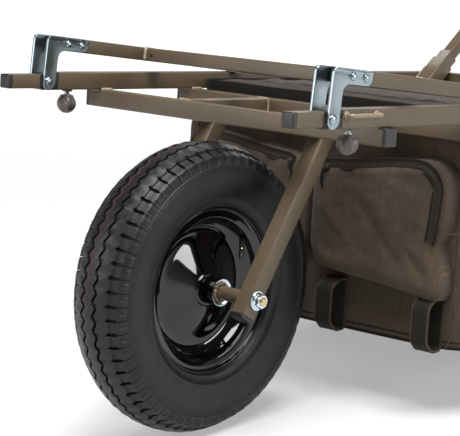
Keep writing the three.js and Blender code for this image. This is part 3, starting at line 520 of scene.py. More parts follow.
class MeshSketch:
    """Points, faces, thread coordinates and finishes of one piece before it becomes a mesh."""

    def __init__(self) -> None:
        """Starts an empty piece."""
        self.points: list[np.ndarray] = []
        self.faces: list[tuple[int, ...]] = []
        self.slots: list[int] = []
        self.uvs: list[Flat] = []
        self.count = 0

    def add(self, points: np.ndarray, faces: Sequence[Sequence[int]], slots: Sequence[int] | int = 0,
            uvs: Sequence[Sequence[Flat]] | None = None) -> "MeshSketch":
        """Adds points with their faces.

        Args:
            points: An array of points.
            faces: Indices into those points.
            slots: Material index of each face, or one for all.
            uvs: Thread coordinates of each face's corners, in metres.

        Returns:
            This sketch.
        """
        base = self.count
        self.points.append(np.asarray(points, float).reshape(-1, 3))
        self.count += len(self.points[-1])
        for i, face in enumerate(faces):
            self.faces.append(tuple(base + k for k in face))
            self.slots.append(slots if isinstance(slots, int) else slots[i])
            self.uvs.extend(uvs[i] if uvs is not None else [(0.0, 0.0)] * len(face))
        return self

    def grid(self, points: np.ndarray, around: bool = False, along: bool = False,
             slots: Sequence[int] | int = 0, threads: bool = False) -> "MeshSketch":
        """Adds a surface of rows and columns.

        Args:
            points: Array of rows by columns by three.
            around: Whether the last column joins the first.
            along: Whether the last row joins the first.
            slots: Material index of each row of faces, or one for all.
            threads: Whether to lay thread coordinates by arc length.

        Returns:
            This sketch.
        """
        rows, columns = points.shape[:2]
        u, v = self._lengths(points) if threads else (None, None)
        faces, face_slots, uvs = [], [], []
        for i in range(rows if along else rows - 1):
            for j in range(columns if around else columns - 1):
                i2, j2 = (i + 1) % rows, (j + 1) % columns
                faces.append((i * columns + j, i * columns + j2, i2 * columns + j2, i2 * columns + j))
                face_slots.append(slots if isinstance(slots, int) else slots[i])
                if threads:
                    uvs.append([(u[j], v[i]), (u[j + 1], v[i]), (u[j + 1], v[i + 1]), (u[j], v[i + 1])])
        return self.add(points, faces, face_slots, uvs if threads else None)

    @staticmethod
    def _lengths(points: np.ndarray) -> tuple[np.ndarray, np.ndarray]:
        """Arc lengths along the middle row and the middle column, in metres, one step past the end."""
        def measure(line: np.ndarray) -> np.ndarray:
            steps = np.linalg.norm(np.roll(line, -1, axis=0) - line, axis=1)
            return np.concatenate([[0.0], np.cumsum(steps)]) / 1000
        return measure(points[len(points) // 2]), measure(points[:, points.shape[1] // 2])

    def lathe(self, profile: Sequence[Flat], steps: int, closed: bool = False,
              slots: Sequence[int] | int = 0, threads: bool = False) -> "MeshSketch":
        """Turns a profile of (radius, height) about Z.

        Args:
            profile: The profile's points.
            steps: Segments round the axis.
            closed: Whether the profile is a loop.
            slots: Material index of each step of the profile, or one for all.
            threads: Whether to lay thread coordinates.

        Returns:
            This sketch.
        """
        angles = np.arange(steps) * 2 * math.pi / steps
        radius = np.array([p[0] for p in profile])[:, None]
        height = np.array([p[1] for p in profile])[:, None] * np.ones(steps)
        points = np.stack([radius * np.cos(angles), radius * np.sin(angles), height], axis=2)
        return self.grid(points, around=True, along=closed, slots=slots, threads=threads)

    def sweep(self, path: np.ndarray, section: Sequence[Flat], up: Point, closed: bool = False,
              scale: Sequence[float] | None = None, slots: int = 0, threads: bool = False) -> "MeshSketch":
        """Runs a section along a path.

        Args:
            path: The path's points.
            section: The section's loop, (across, up).
            up: Direction that the section's second axis stays close to.
            closed: Whether the path is a loop.
            scale: Size of the section at each point.
            slots: Material index.
            threads: Whether to lay thread coordinates.

        Returns:
            This sketch.
        """
        path = np.asarray(path, float)
        ahead = np.roll(path, -1, axis=0) - np.roll(path, 1, axis=0)
        if not closed:
            ahead[0], ahead[-1] = path[1] - path[0], path[-1] - path[-2]
        ahead /= np.linalg.norm(ahead, axis=1)[:, None]
        across = np.cross(ahead, np.array(up, float))
        across /= np.linalg.norm(across, axis=1)[:, None]
        above = np.cross(across, ahead)
        shape = np.array(section)
        size = np.ones(len(path)) if scale is None else np.asarray(scale, float)
        offsets = shape[None, :, 0, None] * across[:, None] + shape[None, :, 1, None] * above[:, None]
        rings = path[:, None] + size[:, None, None] * offsets
        self.grid(rings, around=True, along=closed, slots=slots, threads=threads)
        if not closed:
            width = rings.shape[1]
            self.cap(self.count - len(rings) * width, width, slots)
            self.cap(self.count - width, width, slots)
        return self

    def cap(self, start: int, width: int, slot: int = 0) -> None:
        """Closes a ring of points that begins at an index with one flat face."""
        self.faces.append(tuple(range(start, start + width)))
        self.slots.append(slot)
        self.uvs.extend([(0.0, 0.0)] * width)

    def twice(self, half: "MeshSketch") -> "MeshSketch":
        """Adds a half that was made along +Z, and the same half turned to -Z."""
        for turn in (0, 180):
            self.merged(half, local(turn=turn, axis="X"))
        return self

    def merged(self, other: "MeshSketch", matrix: Matrix) -> "MeshSketch":
        """Adds another sketch, moved by a matrix."""
        turn = np.array(matrix)
        points = np.concatenate(other.points) @ turn[:3, :3].T + turn[:3, 3]
        base = self.count
        self.points.append(points)
        self.count += len(points)
        self.faces.extend(tuple(base + k for k in face) for face in other.faces)
        self.slots.extend(other.slots)
        self.uvs.extend(other.uvs)
        return self

    def piece(self, name: str, place: Matrix, finishes: Sequence[Finish],
              sharp: float = 38.0) -> bpy.types.Object:
        """Makes the object, its vertices in the row frame.

        Args:
            name: The object's name.
            place: Matrix from the sketch's millimetres to metres.
            finishes: The finishes that the material indices name.
            sharp: Angle in degrees above which an edge stays sharp.

        Returns:
            The new object.
        """
        turn = np.array(place)
        points = np.concatenate(self.points) @ turn[:3, :3].T + turn[:3, 3]
        mesh = bpy.data.meshes.new(name)
        mesh.from_pydata(points.tolist(), [], self.faces)
        mesh.polygons.foreach_set("material_index", self.slots)
        layer = mesh.uv_layers.new(name="threads")
        layer.data.foreach_set("uv", np.array(self.uvs, float).ravel())
        for finish in finishes:
            mesh.materials.append(finish.material())
        work = bmesh.new()
        work.from_mesh(mesh)
        bmesh.ops.remove_doubles(work, verts=work.verts, dist=1e-6)
        bmesh.ops.recalc_face_normals(work, faces=work.faces)
        work.to_mesh(mesh)
        work.free()
        mesh.polygons.foreach_set("use_smooth", [True] * len(mesh.polygons))
        mesh.set_sharp_from_angle(angle=math.radians(sharp))
        mesh.update()
        made = bpy.data.objects.new(name, mesh)
        bpy.context.scene.collection.objects.link(made)
        return made

    def settle(self, name: str, place: Matrix, finishes: Sequence[Finish], body: str, *nodes: str,
               sharp: float = 38.0) -> bpy.types.Object:
        """Makes the object, lets it ride on a body and hides the nodes that it stands for.

        Args:
            name: The object's name.
            place: Matrix from the sketch's millimetres to metres.
            finishes: The finishes that the material indices name.
            body: The body that it moves with.
            nodes: The nodes that it stands for.
            sharp: Angle in degrees above which an edge stays sharp.

        Returns:
            The new object.
        """
        made = self.piece(name, place, finishes, sharp)
        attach(made, body)
        if nodes:
            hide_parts(*nodes)
        return made


def circle(radius: float, steps: int) -> list[Flat]:
    """Points of a circle."""
    return [(radius * math.cos(2 * math.pi * i / steps), radius * math.sin(2 * math.pi * i / steps))
            for i in range(steps)]


def between(first: Sequence[float], last: Sequence[float], spacing: float) -> np.ndarray:
    """Evenly spaced points on a straight line."""
    a, b = np.array(first, float), np.array(last, float)
    count = max(2, int(np.linalg.norm(b - a) / spacing) + 1)
    return a + (b - a) * np.linspace(0, 1, count)[:, None]


def weld_bead(sketch: MeshSketch, corners: Sequence[Sequence[float]], radius: float, seed: int,
              up: Point = (0.3, 0.2, 0.9), slot: int = 0) -> None:
    """Lays a lumpy weld along a polyline.

    Args:
        sketch: The sketch that takes the weld.
        corners: The polyline's corners.
        radius: The weld's mean radius.
        seed: Seed of its lumps.
        up: Any direction that the polyline doesn't follow.
        slot: Material index.
    """
    lumps = random.Random(seed)
    spacing, ripple, uneven, wander, taper = 0.9, 0.16, 0.09, 0.16, 0.55
    for first, last in zip(corners[:-1], corners[1:]):
        path = between(first, last, spacing)
        scale = [1.0 + ripple * math.cos(i * 2 * math.pi / 3) + lumps.uniform(-uneven, uneven)
                 for i in range(len(path))]
        scale[0] *= taper
        scale[-1] *= taper
        path = path + np.array([[lumps.uniform(-wander, wander) for _ in range(3)] for _ in path])
        sketch.sweep(path, circle(radius, 8), up, scale=scale, slots=slot)


@dataclass(frozen=True)
class TubeStock:
    """A size of square tube."""

    side: float
    wall: float
    corner: float


OUTER = TubeStock(25.0, 2.2, 2.4)
INNER = TubeStock(20.0, 1.6, 1.92)
CLEARANCE = 0.3
OUTER_REACH = OUTER.side / 2 + CLEARANCE
INNER_REACH = INNER.side / 2 + CLEARANCE


def no_slant(x: float, y: float, far: bool) -> float:
    """Leaves a tube's ends square."""
    return 0.0


def mitre(half: float, sign: int = 0) -> Slant:
    """Cuts a tube's ends to 45 degrees.

    Args:
        half: Half the tube's side, with the gap that its weld fills.
        sign: Side of the trolley, for a tube that is cut at its near end only, or else 0.

    Returns:
        A slant for tube_sketch.
    """
    if sign:
        return lambda x, y, far: 0.0 if far else half - sign * y
    return lambda x, y, far: -(x + half) if far else x + half


def tube_sketch(length: float, stock: TubeStock = OUTER, slant: Slant = no_slant) -> MeshSketch:
    """Hollow square tube along +Z from zero, with round corners and dressed ends.

    Args:
        length: The tube's length.
        stock: The tube's size.
        slant: Takes a point's X and Y, and whether it is at the far end, and gives how far it slides
            along Z.

    Returns:
        The tube.
    """
    dress, bore, tight = 0.35, stock.side - 2 * stock.wall, stock.corner - 1.0
    rings = [(stock.side - 2 * dress, dress * 0.2, 0.0), (stock.side, 0.0, dress),
             (stock.side, 0.0, length - dress), (stock.side - 2 * dress, dress * 0.2, length),
             (bore + dress, tight, length), (bore, tight, length - dress), (bore, tight, dress),
             (bore + dress, tight, 0.0)]
    rows = [[(x, y, z + slant(x, y, z > length / 2))
             for x, y in rounded_rectangle(side, side, stock.corner - tighter, 5)]
            for side, tighter, z in rings]
    return MeshSketch().grid(np.array(rows), around=True, along=True)


def square_rows(levels: Sequence[tuple[float, float, float]]) -> np.ndarray:
    """Rings round Z from levels of (side, corner radius, height)."""
    return np.array([[(x, y, z) for x, y in rounded_rectangle(size, size, corner, 5)]
                     for size, corner, z in levels])


def plug_sketch(stock: TubeStock, head: float) -> MeshSketch:
    """A moulded plug whose head faces -Z from an open tube end at zero.

    Args:
        stock: The tube's size.
        head: The head's height.

    Returns:
        The plug.
    """
    side, gap = stock.side, CLEARANCE
    stem = side - 2 * stock.wall - 2 * gap
    levels = [(stem - 2, 0.6, 10.0), (stem, 0.9, 8.8), (stem, 0.9, -gap), (side - 1.0, 2.0, -gap),
              (side - 0.2, 2.3, -gap - 0.4), (side, 2.4, -gap - 1.0), (side, 2.4, -head * 0.62 - gap)]
    for step in range(1, 5):
        angle = math.pi / 2 * step / 4
        inset = 1.7 * (1 - math.cos(angle))
        levels.append((side - 2 * inset, 2.4 - inset * 0.2, -gap - head * (0.62 + 0.34 * math.sin(angle))))
    levels += [(side * 0.55, 1.4, -gap - head * 0.985), (side * 0.18, 0.6, -gap - head)]
    rows = square_rows(levels)
    sketch = MeshSketch().grid(rows, around=True)
    width = rows.shape[1]
    sketch.cap(0, width)
    sketch.cap((len(rows) - 1) * width, width)
    return sketch


class Place:
    """Places in the level frame, as matrices from millimetres to metres in the row frame."""

    def __init__(self, axle: Sequence[float], pitch: float = 6.0) -> None:
        """Sets the level frame.

        Args:
            axle: The axle's place in the row frame.
            pitch: How far the rails slope down to the rear, in degrees.
        """
        tilt = Matrix.Rotation(math.radians(-pitch), 4, "Y")
        self.level = Matrix.Translation(axle) @ tilt @ Matrix.Scale(0.001, 4)

    def at(self, x: float = 0.0, y: float = 0.0, z: float = 0.0, turn: float = 0.0) -> Matrix:
        """A place in the level frame, turned about Y by degrees."""
        return self.level @ Matrix.Translation((x, y, z)) @ Matrix.Rotation(math.radians(turn), 4, "Y")


def local(x: float = 0.0, y: float = 0.0, z: float = 0.0, turn: float = 0.0, axis: str = "Y") -> Matrix:
    """A move and a turn in degrees inside a sketch."""
    return Matrix.Translation((x, y, z)) @ Matrix.Rotation(math.radians(turn), 4, axis)


ALONG_X = Matrix.Rotation(math.pi / 2, 4, "Y")
ALONG_Y = Matrix.Rotation(-math.pi / 2, 4, "X")


def rectangle_path(x: float, y: float, z: float, wide: float, deep: float) -> list[Point]:
    """Corners of a level rectangle round a place, by half sizes along X and Y, the first one twice."""
    return [(x - wide, y - deep, z), (x + wide, y - deep, z), (x + wide, y + deep, z),
            (x - wide, y + deep, z), (x - wide, y - deep, z)]


def smooth_curve(points: Sequence[Sequence[float]], count: int) -> np.ndarray:
    """A smooth curve through points.

    Args:
        points: Points in two or three dimensions.
        count: How many samples to give.

    Returns:
        The samples.
    """
    given = np.array(points, float)
    padded = np.vstack([2 * given[0] - given[1], given, 2 * given[-1] - given[-2]])
    samples = []
    for value in np.linspace(0, len(given) - 1, count):
        i = min(int(value), len(given) - 2)
        t = value - i
        a, b, c, d = padded[i:i + 4]
        samples.append(0.5 * (2 * b + (c - a) * t + (2 * a - 5 * b + 4 * c - d) * t**2
                              + (3 * b - a - 3 * c + d) * t**3))
    return np.array(samples)


def hexagon_sketch(across: float, height: float, chamfer: float = 1.1) -> MeshSketch:
    """A hexagon head or nut from zero up, with chamfered corners.

    Args:
        across: Size across the flats.
        height: Height along Z.
        chamfer: Height of the corner chamfers.

    Returns:
        The hexagon.
    """
    apothem = across / 2
    corner = apothem / math.cos(math.pi / 6)
    levels = [(0.0, 0.01), (0.0, apothem * 0.98), (chamfer, corner), (height - chamfer, corner),
              (height, apothem * 0.98), (height, apothem * 0.01)]
    rows = []
    for z, limit in levels:
        row = []
        for step in range(48):
            angle = 2 * math.pi * step / 48
            flat = apothem / math.cos((angle + math.pi / 6) % (math.pi / 3) - math.pi / 6)
            reach = min(flat, limit)
            row.append((reach * math.cos(angle), reach * math.sin(angle), z))
        rows.append(row)
    return MeshSketch().grid(np.array(rows), around=True)


def threaded(radius: float, start: float, end: float, pitch: float = 1.25) -> list[Flat]:
    """Profile of a threaded stud from start to end, as (radius, height)."""
    profile = [(0.01, start)]
    z = start
    while z < end - pitch:
        profile += [(radius * 0.93, z), (radius, z + pitch * 0.35), (radius, z + pitch * 0.6)]
        z += pitch
    return profile + [(radius * 0.9, z), (radius * 0.8, end), (0.01, end)]


# Wheel


@dataclass(frozen=True)
class TreadRow:
    """One line round the tyre: where it lies across the tread, and what the blocks do along it."""

    across: float
    drop: float = 0.0
    sway: float = 0.0
    sipe: float = 0.0
    scallop: float = 0.0
    notch: float = 0.0
    slit: float = 0.0
    radius: float = 0.0
    boss: float = 0.0


@dataclass
class Wheel:
    """The pneumatic wheel: tyre, air tube with valve, dished rim, hub and bearings.

    shares are the places in one tread block, from 0 to 1, where each line round the tyre has a point.
    """

    place: Place
    radius: float = 203.0
    tread_half: float = 41.0
    tread_fall: float = 13.4
    blocks: int = 64
    zigzag: float = 2.9
    hub_radius: float = 19.0
    hub_half: float = 51.0

    shares: tuple[float, ...] = (0.0, 0.04, 0.12, 0.17, 0.222, 0.232, 0.268, 0.278, 0.33, 0.38, 0.46, 0.50,
                                 0.56, 0.66, 0.70, 0.76, 0.80, 0.90, 0.96)

    def tread_radius(self, across: np.ndarray) -> np.ndarray:
        """The crowned tread's radius at places across it."""
        return self.radius - self.tread_fall * (across / self.tread_half) ** 2

    def rows(self) -> list[TreadRow]:
        """The lines of one half, from the middle of the tread to the bead."""
        tread = [
            TreadRow(1.2, sway=1), TreadRow(3.0, sway=1), TreadRow(5.2, sway=1),
            TreadRow(5.6, sway=1, sipe=2.2), TreadRow(8.7, sway=1, sipe=2.2),
            TreadRow(9.2, drop=5.5, sway=1), TreadRow(12.2, drop=5.5, sway=1),
            TreadRow(12.8, sway=1, sipe=2.2), TreadRow(17.0, sway=0.9, sipe=2.2),
            TreadRow(17.5, sway=0.85), TreadRow(20.5, sway=0.5), TreadRow(24.5, sway=0.15),
            TreadRow(29.6, scallop=3.8), TreadRow(30.2, drop=2.6, scallop=3.8, notch=4.0, slit=1.5),
            TreadRow(33.0, drop=2.7, notch=4.2, slit=3.0), TreadRow(36.5, drop=2.1, notch=3.2, slit=4.0),
            TreadRow(39.0, drop=1.3, notch=1.0, slit=5.0), TreadRow(41.2, drop=0.9, slit=5.0),
        ]
        shoulder = [
            TreadRow(43.3, radius=187.0, slit=5.0, boss=0.5),
            TreadRow(44.9, radius=183.2, slit=4.4, boss=0.9),
            TreadRow(46.0, radius=179.0, slit=3.2, boss=0.7), TreadRow(46.7, radius=175.6, slit=0.4),
        ]
        rings = [(47.5, 174.9), (47.8, 173.6), (47.1, 172.6), (47.2, 171.0), (47.8, 170.4), (47.8, 169.6),
                 (47.3, 169.0), (47.4, 166.9), (47.9, 166.3), (47.9, 165.6), (47.5, 165.0), (47.8, 160.0),
                 (47.8, 152.0), (47.1, 144.0), (45.6, 136.5), (44.0, 131.0), (43.9, 129.4), (43.1, 128.4),
                 (42.0, 127.6), (39.2, 121.6), (38.4, 119.6), (38.3, 118.4), (35.8, 116.9)]
        bead = [(33.2, 115.9), (31.4, 115.4), (27.0, 112.6), (24.6, 102.5), (18.0, 102.5)]
        inside = [(26.0, 118.0), (37.0, 140.0), (38.0, 170.0), (26.0, 187.0)]
        plain = [TreadRow(across, radius=radius) for across, radius in rings + bead + inside]
        return tread + shoulder + plain

    def ring(self, row: TreadRow, sign: int, share: np.ndarray, angle: np.ndarray) -> np.ndarray:
        """The points of one line round the tyre.

        Args:
            row: The line.
            sign: Side of the tyre.
            share: Place in its block of each point, from 0 to 1.
            angle: Angle of each point.

        Returns:
            The points.
        """
        wave = np.clip(np.where(share < 0.5, 4 * share - 1, 3 - 4 * share), -0.92, 0.92)
        across = row.across - row.scallop * np.exp(-((np.abs(share - 0.25) / 0.12) ** 2))
        in_slit = (share >= 0.231) & (share <= 0.269)
        in_notch = (share >= 0.169) & (share <= 0.331)
        in_boss = ((share >= 0.55) & (share <= 0.67)) | ((share >= 0.79) & (share <= 0.91))
        deep = row.slit * in_slit - row.boss * in_boss
        if row.radius:
            radius = row.radius - 0.45 * deep + np.zeros_like(share)
            across = across - 0.8 * deep
        else:
            sunk = row.drop + row.sipe * in_slit + row.notch * in_notch + deep
            radius = self.tread_radius(across) - sunk
        width = sign * across + row.sway * self.zigzag * wave
        return np.stack([radius * np.cos(angle), radius * np.sin(angle), width], axis=1)

    def tyre(self) -> None:
        """Builds the tyre, with zigzag grooves, sipes, shoulder blocks and a ribbed side."""
        share = np.tile(np.array(self.shares), self.blocks)
        angle = (np.repeat(np.arange(self.blocks), len(self.shares)) + share) * 2 * math.pi / self.blocks
        half = self.rows()
        side, face, stripe = range(3)
        past_crown = 6
        crown = sum(1 for row in half if not row.radius) - past_crown
        strips = [face if i < crown and half[i].drop == 0 and half[i + 1].drop == 0 else side
                  for i in range(len(half) - 1)]
        right = strips[::-1]
        right[-2] = stripe
        grid = [self.ring(row, -1, share, angle) for row in reversed(half)]
        grid += [self.ring(row, 1, share, angle) for row in half]
        sketch = MeshSketch().grid(np.array(grid), around=True, along=True,
                                   slots=right + [face] + strips + [side])
        finishes = [Finishes.tyre, Finishes.tread, Finishes.stripe]
        sketch.settle("tyre_with_tread", self.place.at() @ ALONG_Y, finishes, "wheel", "tyre", sharp=32)

    def rim(self) -> None:
        """Builds the two pressed and dished halves of the rim."""
        dish = [(19.3, 26.0), (21.4, 25.9), (22.5, 25.3)]
        dish += [tuple(point) for point in smooth_curve(
            [(23.2, 23.6), (25.2, 21.9), (36.0, 17.0), (56.0, 8.9), (69.0, 4.2), (78.5, 2.7), (86.0, 4.2),
             (92.0, 8.4)], 70)]
        dish += filleted([
            (94.5, 11.0, 0), (98.4, 17.0, 6), (99.7, 26.6, 3.5), (107.0, 28.4, 5), (112.4, 29.4, 2.4),
            (113.3, 33.2, 1.2), (115.3, 33.4, 0.9), (115.2, 31.0, 0.5), (112.6, 27.4, 2), (104.0, 25.2, 2),
            (102.2, 23.6, 2), (100.8, 13.6, 4), (84.0, -0.2, 3), (74.0, -0.2, 3), (40.0, 12.0, 10),
            (24.0, 18.6, 2), (19.3, 21.0, 0),
        ], steps=6)
        sketch = MeshSketch().twice(MeshSketch().lathe(dish, 144, closed=True))
        sketch.settle("rim_pressed_halves", self.place.at() @ ALONG_Y, [Finishes.enamel], "wheel",
                      "wheel_rim", sharp=50)

    def hub(self) -> None:
        """Builds the hub tube with bare lips, and the sealed, greasy bearings in it."""
        end, out = self.hub_half, self.hub_radius
        half = [(out, 0.0), (out, 30.0), (out, end - 2.2), (out + 0.15, end - 2.0), (out + 0.15, end - 0.5),
                (out - 0.3, end), (out - 1.4, end), (out - 4.0, end - 1.2), (out - 4.0, 0.0)]
        sketch = MeshSketch().twice(MeshSketch().lathe(half, 72, slots=[0, 0, 0, 0, 0, 1, 1, 0]))
        sketch.settle("hub_tube_with_lips", self.place.at() @ ALONG_Y, [Finishes.enamel, Finishes.zinc],
                      "wheel", "hub_tube")
        face = end - 2.0
        bearing = [(6.3, face - 11.0), (6.3, face), (8.4, face), (8.7, face - 0.8), (9.6, face - 1.4),
                   (12.4, face - 1.0), (12.8, face - 0.3), (14.6, face - 0.2), (14.65, face - 1.0),
                   (14.65, face - 12.0)]
        stack = MeshSketch().twice(MeshSketch().lathe(bearing, 60, slots=[0, 1, 1, 2, 2, 2, 1, 0, 0]))
        stack.lathe([(6.4, -36.0), (8.6, -36.0), (8.6, 36.0), (6.4, 36.0)], 32, closed=True)
        for level, seed in ((face + 0.3, 98), (-0.3 - face, 0)):
            grease = [(12.6 * c, 12.6 * s, level) for c, s in circle(1.0, 13) + [(1.0, 0.0)]]
            weld_bead(stack, grease, 2.8, seed, up=(0.02, 0.03, 1), slot=2)
        stack.settle("bearings_with_seals", self.place.at() @ ALONG_Y,
                     [Finishes.zinc, Finishes.brass, Finishes.grease], "wheel", "hub_bearings")

    def air_tube(self) -> None:
        """Builds the air tube with its leaning valve stem and cap."""
        lean, turn, hidden = math.radians(35), math.radians(-139), 18
        inward = Vector((-math.cos(lean), 0, math.sin(lean)))
        start = Vector((102.5, 0, 12.52)) - inward * hidden
        stand = Vector((0, 0, 1)).rotation_difference(inward).to_matrix().to_4x4()
        place = Matrix.Rotation(turn, 4, "Z") @ Matrix.Translation(start) @ stand
        loop = [(145.7 + 33 * math.cos(a), 27 * math.sin(a)) for a in np.arange(28) * 2 * math.pi / 28]
        sketch = MeshSketch().lathe(loop, 96, closed=True)
        boot = [(0.1, 0), (3.6, 0.4), (4.0, 4), (4.0, 30), (3.9, 34)]
        for i in range(5):
            boot += [(3.9, 34.5 + 1.6 * i), (3.6, 34.9 + 1.6 * i), (3.6, 35.5 + 1.6 * i)]
        boot += [(3.7, 43.5), (3.4, 45.6), (3.1, 46.4)]
        stem = [(3.1, 46.4), (2.7, 47), (2.7, 50), (3.0, 50.4)]
        cap = [(3.0, 50.4), (3.9, 50.8), (3.9, 62.4), (3.4, 63.6), (2.2, 64), (0.1, 64)]
        slots = [0] * len(boot) + [1] * (len(stem) - 1) + [0] + [2] * (len(cap) - 1)
        sketch.merged(MeshSketch().lathe(boot + stem + cap, 28, slots=slots), place)
        sketch.settle("air_tube_with_valve", self.place.at() @ ALONG_Y,
                      [Finishes.tube, Finishes.brass, Finishes.nylon], "wheel", "inner_tube")

    def build(self) -> None:
        """Builds every piece of the wheel."""
        self.tyre()
        self.rim()
        self.hub()
        self.air_tube()


@dataclass
class Axle:
    """Axle bolt, flange nut, washers and the spacer tubes beside the hub."""

    place: Place
    fork_outer: float = 114.5
    fork_inner: float = 89.5
    hub_end: float = 49.3

    def build(self) -> None:
        """Builds the axle's pieces, along Y."""
        lie = self.place.at() @ ALONG_Y
        start, tip, plain = -(self.fork_outer + CLEARANCE), self.fork_outer + 14.0, 2000
        bolt = MeshSketch().lathe(threaded(6.0, start - 2, tip - 14, pitch=plain), 32)
        bolt.lathe(threaded(6.0, tip - 22, tip), 32, slots=1)
        washer = filleted([(6.2, 0, 0), (13.5, 0, 0.5), (13.5, -2, 0.6), (6.2, -2, 0)], 3, True)
        bolt.merged(MeshSketch().lathe(washer, 48, closed=True), local(z=start))
        bolt.merged(hexagon_sketch(18, 8), local(z=start - 8))
        bolt.settle("axle_bolt_with_washer", lie, [Finishes.zinc, Finishes.brass], "frame", "axle_bolt")
        nut = MeshSketch().lathe([(r, -z) for r, z in washer], 56, closed=True)
        flange = filleted([(6.3, 2.0, 0), (11.4, 2.0, 0.5), (11.4, 2.9, 0.6), (9.6, 4.4, 1.0),
                           (6.3, 4.6, 0)], 3, True)
        nut.lathe(flange, 56, closed=True)
        nut.merged(hexagon_sketch(18, 8.6, 1.4), local(z=2.4))
        nut.settle("axle_flange_nut", lie @ local(z=self.fork_outer + CLEARANCE), [Finishes.zinc],
                          "frame", "axle_nut")
        far = self.fork_inner - CLEARANCE
        tube = filleted([(6.4, self.hub_end, 0), (9.6, self.hub_end, 0.4), (10.0, self.hub_end + 1, 0.4),
                         (10.0, far, 0.3), (6.4, far, 0)], 3, True)
        for side, turn in ((Side.LEFT, 0), (Side.RIGHT, 180)):
            MeshSketch().lathe(tube, 48, closed=True).settle(
                f"axle_spacer_tube_{side.word}", lie @ local(turn=turn, axis="X"), [Finishes.paint],
                "frame", f"axle_spacer_{side.word}")


# Frame


@dataclass
class Fork:
    """The raked fork legs, their plugs and the welds under the bridge tubes."""

    place: Place
    spread: float = 204.0
    rake: float = 59.0
    tail: float = 26.0
    reach_up: float = 223.7

    def build(self) -> None:
        """Builds both legs with their plugs and welds."""
        lean = self.rake - 90
        slope = math.tan(math.radians(lean))
        length = self.tail + self.reach_up / math.cos(math.radians(lean))
        for side in Side:
            root = self.place.at(y=side.sign * self.spread / 2, turn=lean)
            tube = tube_sketch(length, slant=lambda x, y, far: x * slope if far else 0.0)
            tube.settle(f"fork_leg_tube_{side.word}", root @ local(z=-self.tail), [Finishes.paint], "frame",
                        f"fork_leg_{side.word}")
            plug_sketch(OUTER, 5).settle(f"fork_end_plug_{side.word}", root @ local(z=-self.tail),
                                         [Finishes.nylon], "frame", f"fork_plug_{side.word}")
            corners = rectangle_path(slope * self.reach_up, side.sign * self.spread / 2,
                                     self.reach_up - 0.4, 12.6 / math.cos(math.radians(lean)), 12)
            weld = MeshSketch()
            weld_bead(weld, corners, 1.5, 11 + side.sign)
            weld.settle(f"fork_weld_{side.word}", self.place.at(), [Finishes.weld], "frame", sharp=70)


